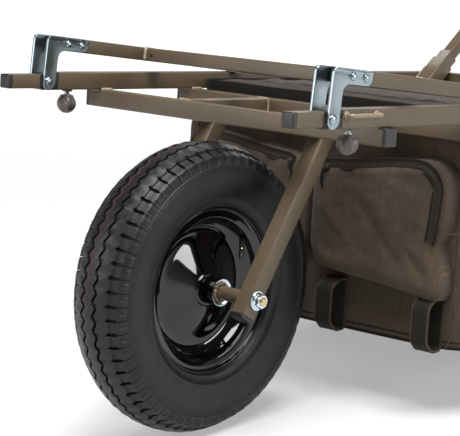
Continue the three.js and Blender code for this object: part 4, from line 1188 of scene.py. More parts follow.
@dataclass
class Frame:
    """Cross bars, bridge tubes, side rails, tie loops and their welds."""

    place: Place
    width: float = 550.0
    rail_y: float = 262.5
    rail_z: float = 261.8
    bar_z: float = 236.5
    rail_front: float = 44.0
    rail_rear: float = -900.0
    front_bar: float = -51.5
    middle_bar: float = -244.5
    bridge_y: float = 102.0
    knob_x: float = 16.0
    leg_x: float = -792.0

    def bars(self) -> None:
        """Builds the front and middle cross bars with their end plugs."""
        for word, x in (("front", self.front_bar), ("middle", self.middle_bar)):
            root = self.place.at(x=x, z=self.bar_z)
            tube_sketch(self.width).settle(
                f"{word}_cross_bar_tube", root @ ALONG_Y @ local(z=-self.width / 2), [Finishes.paint],
                "frame", f"{word}_cross_bar")
            for side in Side:
                turn = local(y=side.sign * self.width / 2, turn=90 * side.sign, axis="X")
                plug_sketch(OUTER, 5).settle(
                    f"{word}_bar_end_plug_{side.word}", root @ turn, [Finishes.nylon], "frame",
                    f"{word}_bar_plug_{side.word}")

    def rails(self) -> None:
        """Builds the side rails with the clamp bosses, and the mitred rear bar."""
        length = self.rail_front - self.rail_rear
        boss = filleted([(3.8, -15.5, 0), (7.4, -15.5, 0.6), (7.5, -13.6, 0.6), (8.8, -12.4, 0),
                         (3.8, -12.0, 0)], 3, True)
        for side in Side:
            sketch = MeshSketch().merged(tube_sketch(length, slant=mitre(OUTER_REACH, side.sign)),
                                         local(x=self.rail_rear) @ ALONG_X)
            sketch.merged(MeshSketch().lathe(boss, 32, closed=True), local(x=self.knob_x))
            root = self.place.at(y=side.sign * self.rail_y, z=self.rail_z)
            sketch.settle(f"side_rail_tube_{side.word}", root, [Finishes.paint], "frame",
                          f"side_rail_{side.word}")
        sketch = tube_sketch(self.width, slant=mitre(OUTER_REACH))
        root = self.place.at(x=self.rail_rear + OUTER.side / 2, z=self.rail_z)
        sketch.settle("rear_cross_bar_tube", root @ ALONG_Y @ local(z=-self.width / 2), [Finishes.paint],
                      "frame", "rear_cross_bar")

    def bridges(self) -> None:
        """Builds the tubes between the two bars that carry the fork."""
        rear, front = self.middle_bar + OUTER_REACH, self.front_bar - OUTER_REACH
        for side in Side:
            root = self.place.at(x=rear, y=side.sign * self.bridge_y, z=self.bar_z)
            tube_sketch(front - rear).settle(
                f"bridge_tube_square_{side.word}", root @ ALONG_X, [Finishes.paint], "frame",
                f"bridge_tube_{side.word}")

    def tie_loops(self) -> None:
        """Builds the bent rods on the rails' outer faces, with a weld round each foot."""
        front, rear, face, out, level, reach = 38.0, -22.0, 275.3, 287.3, self.rail_z + 5, 3.7
        bend = filleted([(front, face - 0.6, 0), (front, out, 7), (rear, out, 7), (rear, face - 0.6, 0)], 8)
        for side in Side:
            path = np.array([(x, side.sign * y, level) for x, y in bend])
            sketch = MeshSketch().sweep(path, circle(3.0, 14), (0, 0, 1))
            for k, x in enumerate((front, rear)):
                foot = [(x + reach * math.cos(a), side.sign * (face + 0.4), level + reach * math.sin(a))
                        for a in np.linspace(0, 2 * math.pi, 9)]
                weld_bead(sketch, foot, 2.1, 31 + k + side.sign, up=(0.1, 1, 0.1), slot=1)
            sketch.settle(f"tie_loop_rod_{side.word}", self.place.at(), [Finishes.rod, Finishes.weld],
                          "frame", f"tie_loop_{side.word}", sharp=70)

    def welds(self) -> None:
        """Lays the welds where bars, bridges, rails and rear legs meet, each with its own seed."""
        half, wide, rail = 12.6, 11, self.rail_y
        top, bottom = self.bar_z + half, self.bar_z - half
        rail_top, rail_under = self.rail_z + 12.4, self.rail_z - 12.4
        corner, end = self.rail_rear + 24.8, self.rail_rear + 1
        flat, upright = (0.3, 0.2, 0.9), (1, 0, 0.1)
        beads: list[tuple[Point, Point, float, Point]] = []
        for side in Side:
            s = side.sign
            inner, middle, nook = s * (rail - 13.3), s * self.bridge_y, s * (rail - 12.3)
            for x in (self.front_bar, self.middle_bar):
                beads += [((edge, s * (rail - wide), top), (edge, s * (rail + 6.5), top), 2.3, flat)
                          for edge in (x - half, x + half)]
                beads.append(((x - wide, inner, top + 0.4), (x + wide, inner, top + 0.4), 2.4, flat))
            for x in (self.middle_bar + 12.7, self.front_bar - 12.7):
                beads += [((x, y, bottom + 1.5), (x, y, top - 1.0), 2.2, upright)
                          for y in (middle - 12.4, middle + 12.4)]
                beads.append(((x, middle - wide, top - 0.3), (x, middle + wide, top - 0.3), 1.9, flat))
            beads += [((end, s * (rail + 11.5), z), (end + 23, s * (rail - 11.5), z), 1.3, flat)
                      for z in (rail_top, rail_under)]
            beads.append(((corner, nook, rail_under + 2), (corner, nook, rail_top - 2), 1.4, upright))
            beads += [((x, s * (rail - 10.5), rail_under - 0.4), (x, s * (rail + 10.5), rail_under - 0.4),
                       1.4, flat) for x in (self.leg_x - half, self.leg_x + half)]
        sketch = MeshSketch()
        for seed, (first, last, radius, up) in enumerate(beads, start=101):
            weld_bead(sketch, [first, last], radius, seed, up=up)
        sketch.settle("frame_welds", self.place.at(), [Finishes.weld], "frame", sharp=70)

    def build(self) -> None:
        """Builds every piece of the frame."""
        self.bars()
        self.rails()
        self.bridges()
        self.tie_loops()
        self.welds()


def knob_sketch(stud_inside: float) -> MeshSketch:
    """A fluted, pear-shaped clamp knob that hangs on -Z, with its stud.

    Args:
        stud_inside: How far the stud goes up past zero.

    Returns:
        The knob, with the plastic as finish 0 and the stud as finish 1.
    """
    top, height, radius, lobes, depth = -8.3, 26.5, 14.5, 6, 2.4
    outline = smooth_curve([(0.0, 0.02), (0.0, 0.60), (0.02, 0.69), (0.06, 0.71), (0.10, 0.72),
                            (0.17, 0.81), (0.30, 0.94), (0.46, 1.0), (0.60, 0.97), (0.74, 0.86),
                            (0.86, 0.66), (0.95, 0.42), (0.99, 0.20), (1.0, 0.02)], 52)
    angle = np.arange(72) * 2 * math.pi / 72
    rows = []
    slim = 0.42
    for share, width in outline:
        width = max(width, 0.015)
        flute = depth * max(0.0, width - slim) / (1 - slim) * 0.5 * (1 - np.cos(lobes * angle))
        reach = radius * width - flute
        rows.append(np.stack([reach * np.cos(angle), reach * np.sin(angle),
                              top - height * share + 0 * angle], axis=1))
    sketch = MeshSketch().grid(np.array(rows), around=True)
    collar = filleted([(3.0, top + 0.1, 0), (6.0, top + 0.1, 0.5), (6.0, top + 1.5, 0.5),
                       (3.0, top + 1.5, 0)], 3, True)
    sketch.lathe(collar, 28, closed=True, slots=1)
    return sketch.lathe(threaded(3.5, top - 4, stud_inside), 24, slots=1)


@dataclass
class ClampKnobs:
    """The clamp knobs under the rails' front ends."""

    place: Place
    x: float = 16.0
    y: float = 262.5
    z: float = 249.3

    def build(self) -> None:
        """Builds both knobs."""
        for side in Side:
            root = self.place.at(x=self.x, y=side.sign * self.y, z=self.z)
            knob_sketch(2.3).settle(f"rail_clamp_knob_{side.word}", root, [Finishes.knob, Finishes.zinc],
                                    f"rail_knob_{side.word}", f"rail_knob_{side.word}")


@dataclass
class Extension:
    """The sliding front extension: inner tubes, caps and pivot blocks."""

    place: Place
    rail_y: float = 262.5
    rail_z: float = 261.8
    front: float = 129.0
    length: float = 330.0
    block_rear: float = 44.3
    block_length: float = 33.0

    def block(self) -> MeshSketch:
        """The nylon block that carries the stop's pivot, with a sloping nose."""
        rear, front = self.block_rear, self.block_rear + self.block_length
        rings = [(rear, 21.9, 24.3, 1.6), (rear + 0.4, 22.6, 25.0, 1.9), (front - 6, 22.6, 25.0, 1.9),
                 (front - 0.4, 22.4, 21.6, 1.6), (front, 21.8, 21.2, 1.4), (front, 20.6, 20.6, 1.2),
                 (rear, 20.6, 20.6, 1.2)]
        rows = [[(x, y, z) for y, z in rounded_rectangle(width, height, corner, 5)]
                for x, width, height, corner in rings]
        return MeshSketch().grid(np.array(rows), around=True, along=True)

    def build(self) -> None:
        """Builds both sides of the extension."""
        for side in Side:
            root = self.place.at(y=side.sign * self.rail_y, z=self.rail_z)
            tube_sketch(self.length, INNER).settle(
                f"extension_inner_tube_{side.word}", root @ local(x=self.front - self.length) @ ALONG_X,
                [Finishes.paint], "front_extension", f"extension_tube_{side.word}")
            plug_sketch(INNER, 7).settle(f"extension_end_cap_{side.word}",
                                         root @ local(x=self.front, turn=-90), [Finishes.nylon],
                                         "front_extension", f"extension_cap_{side.word}")
            self.block().settle(f"stop_pivot_block_{side.word}", root, [Finishes.nylon], "front_extension",
                                f"pivot_block_{side.word}")


@dataclass
class LoadStop:
    """The folding load stop: arms, bars, plugs, and pressed L plates with their rivets."""

    place: Place
    pivot_x: float = 64.0
    pivot_z: float = 261.8
    fold: float = 4.751
    arm_y: float = 262.5
    arm_z: float = 56.0
    arm_front: float = -15.7
    arm_rear: float = -397.7
    bar_x: float = -200.0
    plate_inner: float = 11.6
    sheet: float = 2.0
    lip: float = 2.6
    rivets: tuple[float, float] = (-30.0, -56.0)
    rivet_head: float = 5.5
    pin_head: float = 6.5

    def root(self) -> Matrix:
        """The stop's own frame about its pivot."""
        return self.place.at(x=self.pivot_x, z=self.pivot_z, turn=-self.fold)

    def plate_outline(self) -> list[Flat]:
        """Outline of an L plate, about its pivot."""
        half, end, reach = INNER.side / 2, -59.0, 12.5
        high, low = self.arm_z + half, self.arm_z - half
        turns = np.linspace(0, math.pi, 17)
        outline = filleted([(reach, 2, 0), (reach, high, 9), (end, high, 0)], 7)
        outline += [(end - half * math.sin(a), self.arm_z + half * math.cos(a)) for a in turns[1:-1]]
        outline += filleted([(end, low, 0), (-reach, low, 14), (-reach, 2, 0)], 7)
        return outline + [(-reach * math.cos(a), -reach * math.sin(a)) for a in turns]

    def plate(self) -> MeshSketch:
        """A pressed plate whose lip runs up its front and along its top, outer face to -Y."""
        outline = np.array(self.plate_outline())
        ahead = np.roll(outline, -1, axis=0) - outline
        back = outline - np.roll(outline, 1, axis=0)
        ahead /= np.linalg.norm(ahead, axis=1)[:, None]
        back /= np.linalg.norm(back, axis=1)[:, None]
        along = ahead + back
        along /= np.linalg.norm(along, axis=1)[:, None]
        normal = np.stack([along[:, 1], -along[:, 0]], axis=1)
        if sum(outline[:, 0] * np.roll(outline[:, 1], -1) - np.roll(outline[:, 0], -1) * outline[:, 1]) < 0:
            normal = -normal
        raised = np.clip(np.maximum((outline[:, 0] - 4.0) / 6.0, (outline[:, 1] - 58.0) / 5.0), 0, 1)
        raised = raised * raised * (3 - 2 * raised)
        top = self.sheet
        rows = []
        for inset, base, lift in [(0.4, 0.0, 0.0), (0.0, 0.4, 0.0), (0.0, top - 0.5, 1.0),
                                  (0.15, top - 0.15, 1.0), (0.6, top, 1.0), (1.3, top, 1.0),
                                  (1.9, top, 0.8), (2.6, top, 0.25), (3.4, top, 0.0)]:
            flat = outline - normal * inset
            height = self.plate_inner + base + self.lip * lift * raised
            rows.append(np.stack([flat[:, 0], -height, flat[:, 1]], axis=1))
        sketch = MeshSketch().grid(np.array(rows), around=True)
        for start in (0, (len(rows) - 1) * len(outline)):
            sketch.cap(start, len(outline))
        return sketch

    def rivet(self, head: float, dome: float) -> MeshSketch:
        """A rivet along Z with a dome at each end. A small one has black nylon washers inside the plates,
        whose black is painted shade for the gap between plate and arm.
        """
        face = self.plate_inner + self.sheet
        profile = [(0.02, face + dome)]
        for step in range(1, 9):
            angle = math.pi / 2 * step / 8
            profile.append((head * math.sin(angle), face + dome * math.cos(angle) ** 0.85))
        profile += [(head, face - 0.1), (3.0, face - 0.1), (3.0, 0.0)]
        half = MeshSketch().lathe(profile, 32)
        # The black washers fill the gap between plate and arm; their black is painted shade for that gap.
        if head < self.pin_head:
            washer = filleted([(3.3, 10.2, 0), (8.4, 10.2, 0.3), (8.4, 11.5, 0.3), (3.3, 11.5, 0)], 2, True)
            half.lathe(washer, 32, closed=True, slots=1)
        return MeshSketch().twice(half)

    def plates(self) -> None:
        """Builds each side's pair of plates with their rivets and pivot pin."""
        for side in Side:
            sketch = self.plate()
            sketch.merged(self.plate(), Matrix.Scale(-1, 4, (0, 1, 0)))
            sketch.merged(self.rivet(self.pin_head, 3.2), ALONG_Y)
            for x in self.rivets:
                sketch.merged(self.rivet(self.rivet_head, 3.4), local(x=x, z=self.arm_z) @ ALONG_Y)
            sketch.settle(f"stop_plate_pair_{side.word}", self.root() @ local(y=side.sign * self.arm_y),
                          [Finishes.satin, Finishes.nylon], "load_stop", f"stop_plates_{side.word}",
                          sharp=45)

    def tubes(self) -> None:
        """Builds the arms, the inner bar, the mitred end bar and their plugs."""
        length = self.arm_front - self.arm_rear
        for side in Side:
            root = self.root() @ local(y=side.sign * self.arm_y, z=self.arm_z)
            tube = tube_sketch(length, INNER, mitre(INNER_REACH, side.sign))
            tube.settle(f"stop_arm_tube_{side.word}", root @ local(x=self.arm_rear) @ ALONG_X,
                        [Finishes.paint], "load_stop", f"stop_arm_{side.word}")
            plug_sketch(INNER, 5).settle(f"stop_arm_end_plug_{side.word}",
                                         root @ local(x=self.arm_front, turn=-90), [Finishes.nylon],
                                         "load_stop", f"arm_plug_{side.word}")
        inner, outer = 2 * (self.arm_y - INNER_REACH), 2 * self.arm_y + INNER.side
        for word, x, length, slant in (("inner", self.bar_x, inner, no_slant),
                                       ("end", self.arm_rear + INNER.side / 2, outer, mitre(INNER_REACH))):
            place = self.root() @ local(x=x, z=self.arm_z) @ ALONG_Y @ local(z=-length / 2)
            tube_sketch(length, INNER, slant).settle(
                f"stop_{word}_bar_tube", place, [Finishes.paint], "load_stop", f"stop_{word}_bar")

    def welds(self) -> None:
        """Lays the stop's welds, and a black disc on its inner bar that is painted shade standing in for a
        drain hole.
        """
        sketch = MeshSketch()
        for side in Side:
            y = side.sign * (self.arm_y - 10.1)
            for k, x in enumerate((self.bar_x - 10.1, self.bar_x + 10.1)):
                weld_bead(sketch, [(x, y, self.arm_z - 9), (x, y, self.arm_z + 9)], 3.0,
                          200 + 2 * k + side.sign, up=(1, 0, 0.1))
            weld_bead(sketch, [(self.bar_x - 8.5, y, self.arm_z + 9.9),
                               (self.bar_x + 8.5, y, self.arm_z + 9.9)], 1.2, 210 + side.sign)
            for k, z in enumerate((self.arm_z - 9.9, self.arm_z + 9.9)):
                weld_bead(sketch, [(self.arm_rear + 1, side.sign * (self.arm_y + 9), z),
                                   (self.arm_rear + 19, side.sign * (self.arm_y - 9), z)], 1.2,
                          220 + k + side.sign)
        # Black nylon disc on the inner bar's front face: painted shade standing in for the dark inside of a
        # drain hole.
        rim = [(0.02, 0.12), (1.8, 0.12), (2.1, 0.3), (2.5, 0.2), (2.6, -0.6)]
        drain_shade_disc = MeshSketch().lathe(rim, 24, slots=1)
        sketch.merged(drain_shade_disc, local(x=self.bar_x + 10, y=-self.arm_y + 24, z=self.arm_z - 1) @ ALONG_X)
        sketch.settle("stop_welds", self.root(), [Finishes.weld, Finishes.nylon], "load_stop", sharp=70)

    def build(self) -> None:
        """Builds every piece of the load stop."""
        self.plates()
        self.tubes()
        self.welds()


@dataclass
class Handle:
    """One handle: stepped socket, sliding tube, ribbed grip and clamp knob."""

    place: Place
    side: Side
    base_x: float = -845.0
    base_y: float = 234.7
    base_z: float = 274.3
    rise: float = 39.5
    below: float = 62.0
    length: float = 520.0
    grip_length: float = 130.0
    knob_z: float = -34.0

    def socket(self) -> MeshSketch:
        """The stepped socket, its lower part wider, with the clamp boss and the weld at the step."""
        step, top = 26.0, 48.0
        levels = [(29.4, 2.2, -self.below), (30.0, 2.4, -self.below + 0.4), (30.0, 2.4, step - 0.4),
                  (29.4, 2.2, step), (25.6, 2.3, step), (25.0, 2.4, step + 0.6), (25.0, 2.4, top - 0.4),
                  (24.4, 2.2, top), (20.6, 1.0, top), (20.6, 1.0, -self.below)]
        sketch = MeshSketch().grid(square_rows(levels), around=True, along=True)
        boss = filleted([(3.8, 14.0, 0), (9.0, 14.6, 0), (7.6, 16.0, 0.5), (7.4, 18.0, 0.6),
                         (3.8, 18.0, 0)], 3, True)
        sketch.merged(MeshSketch().lathe(boss, 32, closed=True), local(z=self.knob_z, turn=-90))
        half = 12.6
        weld_bead(sketch, rectangle_path(0, 0, step + 0.6, half, half), 1.3, 300 + self.side.sign, slot=1)
        return sketch

    def grip(self) -> MeshSketch:
        """The ribbed grip, closed at its top."""
        outline = [(13.7, 0, 0), (15.4, 0, 0.6), (16.0, 2.5, 0.8), (16.0, 8, 0.8)]
        for i in range(9):
            z = 10.5 + i * 11.6
            outline += [(15.9, z, 0.5), (14.8, z + 1.2, 0.6), (14.8, z + 3.0, 0.6), (15.9, z + 4.2, 0.5)]
        top = self.grip_length
        outline += [(16.0, 119, 1.0), (17.0, 122, 1.4), (17.0, 127.6, 2.6), (12.0, top, 4), (0.05, top, 0),
                    (0.05, 124, 0), (13.7, 124, 0.5)]
        return MeshSketch().lathe(filleted(outline, 4, True), 48, closed=True)

    def build(self) -> None:
        """Builds the handle's pieces and its welds to the rail."""
        word = self.side.word
        root = self.place.at(self.base_x, self.side.sign * self.base_y, self.base_z, self.rise - 90)
        self.socket().settle(f"handle_stepped_socket_{word}", root, [Finishes.paint, Finishes.weld],
                             "frame", f"handle_socket_{word}")
        tube = tube_sketch(self.length, INNER)
        tube.settle(f"handle_sliding_tube_{word}", root @ local(z=-self.below), [Finishes.paint],
                    f"handle_{word}", f"handle_tube_{word}")
        self.grip().settle(f"handle_ribbed_grip_{word}",
                           root @ local(z=self.length - self.below - self.grip_length + 6.3),
                           [Finishes.grip], f"handle_{word}", f"handle_grip_{word}")
        knob_sketch(4.8).settle(f"handle_clamp_knob_{word}", root @ local(x=-15, z=self.knob_z, turn=90),
                                [Finishes.knob, Finishes.zinc], f"handle_knob_{word}",
                                f"handle_knob_{word}")
        weld = MeshSketch()
        y = self.side.sign * 15.2
        weld_bead(weld, [(-14, y, -30), (-14, y, 14)], 1.4, 320 + self.side.sign, up=(1, 0.2, 0))
        weld_bead(weld, [(14, y, -44), (14, y, -2)], 1.4, 330 + self.side.sign, up=(1, 0.2, 0))
        weld.settle(f"handle_weld_{word}", root, [Finishes.weld], "frame", sharp=70)


@dataclass
class RearLeg:
    """One rear leg with its rubber foot, whose sole lies level on the floor."""

    place: Place
    side: Side
    x: float = -792.0
    y: float = 262.5
    bottom: float = -103.87
    top: float = 249.0
    pitch: float = 6.0

    def foot(self) -> MeshSketch:
        """The foot: a square ferrule that flares into a round sole."""
        slope = -math.tan(math.radians(self.pitch))
        base, ferrule, bore = -17.0, 15.8, 12.9
        square = rounded_rectangle(2 * ferrule, 2 * ferrule, 5, 11)
        angles = [math.atan2(y, x) for x, y in square]
        levels = [(22.0, 3.0, 1, 1), (24.0, 0.0, 1, 1), (27.2, 0.0, 1, 1), (28.0, 0.9, 1, 1),
                  (28.0, 6.5, 1, 1), (27.2, 8.4, 1, 1), (24.0, 10.6, 1, 0.8), (20.5, 14.0, 0.75, 0.5),
                  (18.5, 19.5, 0.4, 0.2), (16.8, 27.0, 0.1, 0.0), (16.2, 44.6, 0.0, 0.0),
                  (16.4, 45.0, 0.0, 0.0), (16.4, 46.6, 0.0, 0.0), (ferrule, 47.0, 0.0, 0.0)]
        rows = []
        for radius, rise, circle_share, level_share in levels:
            row = []
            for (x, y), angle in zip(square, angles):
                sx, sy = x * radius / ferrule, y * radius / ferrule
                cx, cy = radius * math.cos(angle), radius * math.sin(angle)
                px = sx + (cx - sx) * circle_share
                py = sy + (cy - sy) * circle_share
                row.append((px, py, base + rise + slope * px * level_share))
            rows.append(row)
        for z in (base + 47.0, base + 16.7):
            rows.append([(x * bore / ferrule, y * bore / ferrule, z) for x, y in square])
        sketch = MeshSketch().grid(np.array(rows), around=True)
        sketch.cap(0, len(square))
        return sketch

    def build(self) -> None:
        """Builds the leg and the foot."""
        root = self.place.at(self.x, self.side.sign * self.y, self.bottom)
        tube_sketch(self.top - self.bottom).settle(
            f"rear_leg_tube_{self.side.word}", root, [Finishes.paint], "frame",
            f"rear_leg_{self.side.word}")
        self.foot().settle(f"rear_foot_{self.side.word}", root, [Finishes.grip], "frame",
                           f"foot_{self.side.word}")


# Bag


def crumple(a: float, b: float, seed: float, size: float) -> float:
    """Soft crumple of cloth at a place, from -1 to 1, with folds of a size."""
    return noise.noise(Vector((a / size, b / size, seed)))


def resampled(loop: Sequence[Sequence[float]], count: int) -> np.ndarray:
    """Evenly spaced points on a closed loop."""
    points = np.array(loop, float)
    closed = np.vstack([points, points[:1]])
    along = np.concatenate([[0], np.cumsum(np.linalg.norm(np.diff(closed, axis=0), axis=1))])
    where = np.linspace(0, along[-1], count, endpoint=False)
    return np.stack([np.interp(where, along, closed[:, k]) for k in range(points.shape[1])], axis=1)


def stitches(sketch: MeshSketch, path: np.ndarray, up: Point, length: float = 3.2, gap: float = 1.5,
             slot: int = 0) -> None:
    """Lays a row of short thread stitches along a path.

    Args:
        sketch: The sketch that takes them.
        path: The path's points.
        up: Any direction that the path doesn't follow.
        length: Length of one stitch.
        gap: Space between two.
        slot: Material index.
    """
    steps = np.linalg.norm(np.diff(path, axis=0), axis=1)
    along = np.concatenate([[0], np.cumsum(steps)])
    start = gap
    while start + length < along[-1]:
        spots = np.linspace(start, start + length, 4)
        piece = np.stack([np.interp(spots, along, path[:, k]) for k in range(3)], axis=1)
        sketch.sweep(piece, circle(0.5, 6), up, scale=[0.6, 1, 1, 0.6], slots=slot)
        start += length + gap


@dataclass
class Bag:
    """The cloth bag between the rails: shell, top band, lid, zipped pockets and webbing loops.

    Each crease of a pocket runs from one (Y, Z) to another and has a width and a depth.
    """

    place: Place
    front: float = -262.0
    rear: float = -750.0
    top: float = 265.0
    band: float = 25.0
    bottom: float = -71.0
    pocket_face: float = -227.0
    loop_places: tuple[float, float] = (48.0, 222.0)
    loop_width: float = 30.0
    ring_points: int = 220
    edge_points: int = 150
    creases: tuple[tuple[float, float, float, float, float, float], ...] = (
        (83, 132, 138, 73, 9, -3.2), (138, 73, 175, 37, 7, -2.6), (105, 141, 150, 84, 12, 2.8),
        (188, 57, 227, 22, 6, -3.4), (190, 70, 240, 40, 8, 3.6), (218, 90, 236, 58, 4, -3.6),
        (21, 124, 74, 64, 12, 2.6), (29, 60, 60, 30, 9, -2.6), (190, 108, 232, 96, 7, 2.4),
        (60, 158, 100, 150, 8, -2.4), (150, 168, 205, 150, 9, -2.4), (95, 40, 150, 22, 8, 2.2),
    )

    def half_at(self, z: float) -> float:
        """Half width of the shell at a height; the cloth swells below the rails."""
        heights = [-80, -71, -45, 0, 60, 150, 195, 222, 236, 270]
        halves = [262, 268, 280, 288, 292, 291, 284, 264, 249.2, 248.8]
        return float(np.interp(z, heights, halves))

    def middle(self) -> float:
        """The bag's middle along X."""
        return (self.front + self.rear) / 2

    def ring(self, z: float, grow: float = 0.0) -> np.ndarray:
        """One level line of the shell, pushed in and out by soft crumples.

        Args:
            z: Height.
            grow: How far outside the cloth it runs.

        Returns:
            The line's points.
        """
        half = self.half_at(z) + grow
        corner = float(np.interp(z, [-71, 100, 236], [34, 40, 12]))
        deep = self.front - self.rear + 2 * grow
        loop = resampled(rounded_rectangle(deep, 2 * half, corner, 8), self.ring_points)
        middle = self.middle()
        free = float(np.interp(z, [-71, -40, 180, 240], [0.3, 1, 1, 0.0]))
        rows = []
        for x, y in loop:
            out = Vector((x / deep, y / half / 2)).normalized()
            side = x if abs(y) > half - 2 else y
            push = free * (4.0 * crumple(side, z, 3.0 + (y > 0), 150) + 1.6 * crumple(side, z, 9.0, 42)
                           + 0.5 * crumple(side, z, 15.0, 14))
            sag = -4.0 * (1 - free) * (1 - (y / half) ** 2) if z < 0 else 0.0
            rows.append((middle + x + out.x * push, y + out.y * push, z + sag))
        return np.array(rows)

    def shell(self) -> None:
        """Builds the sagging shell with its bottom, and the piping round it."""
        levels = [self.top - self.band + 3 - k * 5.0 for k in range(63)]
        levels = [z for z in levels if z > self.bottom] + [self.bottom]
        rows = [self.ring(z) for z in levels]
        last, middle = rows[-1], rows[-1].mean(axis=0)
        for share in (0.985, 0.95, 0.88, 0.76, 0.6, 0.42, 0.24, 0.08, 0.01):
            row = middle + (last - middle) * share
            row[:, 2] = last[:, 2] - 4.0 * (1 - share**4)
            rows.append(row)
        sketch = MeshSketch().grid(np.array(rows), around=True, threads=True)
        sketch.settle("bag_shell", self.place.at(), [Finishes.cloth], "frame", "bag_body", sharp=60)
        piping = MeshSketch().sweep(last + np.array([0, 0, 0.5]), circle(2.3, 8), (0, 0, 1), closed=True,
                                    threads=True)
        piping.sweep(self.ring(self.bottom + 9, 0.3), circle(0.9, 6), (0, 0, 1), closed=True)
        piping.settle("bag_bottom_piping", self.place.at(), [Finishes.binding], "frame", sharp=60)

    def mouth(self) -> None:
        """Builds the stiff band round the mouth, and the crumpled lid inside it."""
        low, high = self.top - self.band, self.top
        path = self.ring(low, 0.8)[:, :2]
        away = path - np.array([self.middle(), 0])
        away /= np.linalg.norm(away, axis=1)[:, None]
        wavy = np.array([0.7 * crumple(x, y, 21.0, 60) for x, y in path])
        rows = []
        for out, z in [(0.0, low), (1.3, low + 0.5), (1.5, low + 2), (1.5, high - 2), (1.2, high - 0.4),
                       (0.2, high), (-1.2, high - 0.4), (-1.4, high - 3), (-1.4, low + 1)]:
            rows.append(np.column_stack([path + away * out, z + wavy]))
        band = MeshSketch().grid(np.array(rows), around=True, along=True, threads=True)
        band.settle("bag_mouth_band", self.place.at(), [Finishes.binding], "frame", sharp=60)
        half, hem = 247, 3
        rows = []
        for x in np.linspace(self.rear + hem, self.front - hem, 130):
            row = []
            for y in np.linspace(-half, half, 140):
                edge = min(1.0, (self.front - x) / 22, (x - self.rear) / 40, (half - abs(y)) / 30)
                lift = 4.0 * crumple(x, y * 0.9, 5.0, 70) + 2.8 * crumple(x * 1.2, y * 1.4, 7.0, 27)
                lift += 0.9 * crumple(x, y, 9.0, 11)
                row.append((x, y, high - 4 + (4 + lift) * edge))
            rows.append(row)
        lid = MeshSketch().grid(np.array(rows), threads=True)
        made = lid.settle("bag_lid", self.place.at(), [Finishes.lid], "frame", sharp=70)

    def outline(self) -> np.ndarray:
        """The left pocket's edge, as (y, z)."""
        edge = [(14, 27), (7, 45), (5, 70), (5, 120), (8, 150), (18, 166), (38, 172), (70, 175),
                (131, 182), (171, 188), (203, 191), (225, 188), (238, 176), (243, 155), (242, 111),
                (236, 86), (231, 73), (237, 57), (243, 34), (246, 14), (240, 0), (225, -3), (178, 3),
                (137, 7), (95, 10), (66, 12), (32, 16)]
        return resampled(smooth_curve(edge + edge[:1], 320), self.edge_points)

    def face(self, y: float, z: float, edge: np.ndarray) -> float:
        """How far forward the pocket's face stands, with its soft bulges and its creases.

        Args:
            y: Place across the pocket.
            z: Height.
            edge: The pocket's edge.

        Returns:
            The place along X.
        """
        away = float(np.min(np.linalg.norm(edge - np.array([y, z]), axis=1)))
        bend = max(0.0, 1 - away / 20) ** 2.2
        free = min(1.0, away / 36)
        soft = 4.4 * crumple(y, z * 0.7, 31.0, 92) + 2.4 * crumple(y * 1.4, z * 0.5, 33.0, 34)
        for y1, z1, y2, z2, width, depth in self.creases:
            run = np.array([y2 - y1, z2 - z1])
            share = float(np.clip(((y - y1) * run[0] + (z - z1) * run[1]) / (run @ run), 0, 1))
            aside = math.hypot(y - y1 - share * run[0], z - z1 - share * run[1])
            fade = 0.35 + 0.65 * math.sin(math.pi * share)
            soft += depth * fade * math.exp(-((aside / width) ** 2))
        return self.pocket_face - 10 * bend + free * soft + 0.7 * crumple(y, z, 35.0, 12)

    def pocket(self, side: Side) -> None:
        """Builds one front pocket panel with its gusset, seams, zip and pull."""
        edge = self.outline()
        s = side.sign
        middle = np.array([128.0, 92.0])
        away = (edge - middle) / np.linalg.norm(edge - middle, axis=1)[:, None]
        rows = []
        for x, out in [(self.front - 0.5, 3.0), (-258.0, 1.6), (-252.0, 0.6), (-245.0, 0.9), (-240.0, 0.6),
                       (-237.6, 0.0)]:
            rows.append([(x, s * y, z) for y, z in edge + away * out])
        for share in np.concatenate([[0.995, 0.985], np.linspace(0.97, 0.02, 60)]):
            spot = middle + (edge - middle) * share
            rows.append([(self.face(y, z, edge), s * y, z) for y, z in spot])
        sketch = MeshSketch().grid(np.array(rows), around=True)
        spots = sketch.points[0] / 1000
        sketch.uvs = [(spots[k][1], spots[k][2]) for face in sketch.faces for k in face]
        made = sketch.settle(f"bag_pocket_panel_{side.word}", self.place.at(), [Finishes.cloth], "frame",
                             "bag_pocket", sharp=70)
        self.zip(side, edge)
        trim = MeshSketch()
        base = np.array([(self.front + 0.8, s * y, z) for y, z in edge + (edge - middle) * 0.022])
        trim.sweep(base, circle(1.6, 6), (1, 0, 0), closed=True)
        seam = middle + (edge - middle) * 0.975
        path = np.array([(self.face(y, z, edge) + 0.25, s * y, z) for y, z in seam if z < 20])
        stitches(trim, path[np.argsort(path[:, 1])], (1, 0, 0), slot=1)
        trim.settle(f"bag_pocket_seams_{side.word}", self.place.at(), [Finishes.cloth, Finishes.thread],
                    "frame")

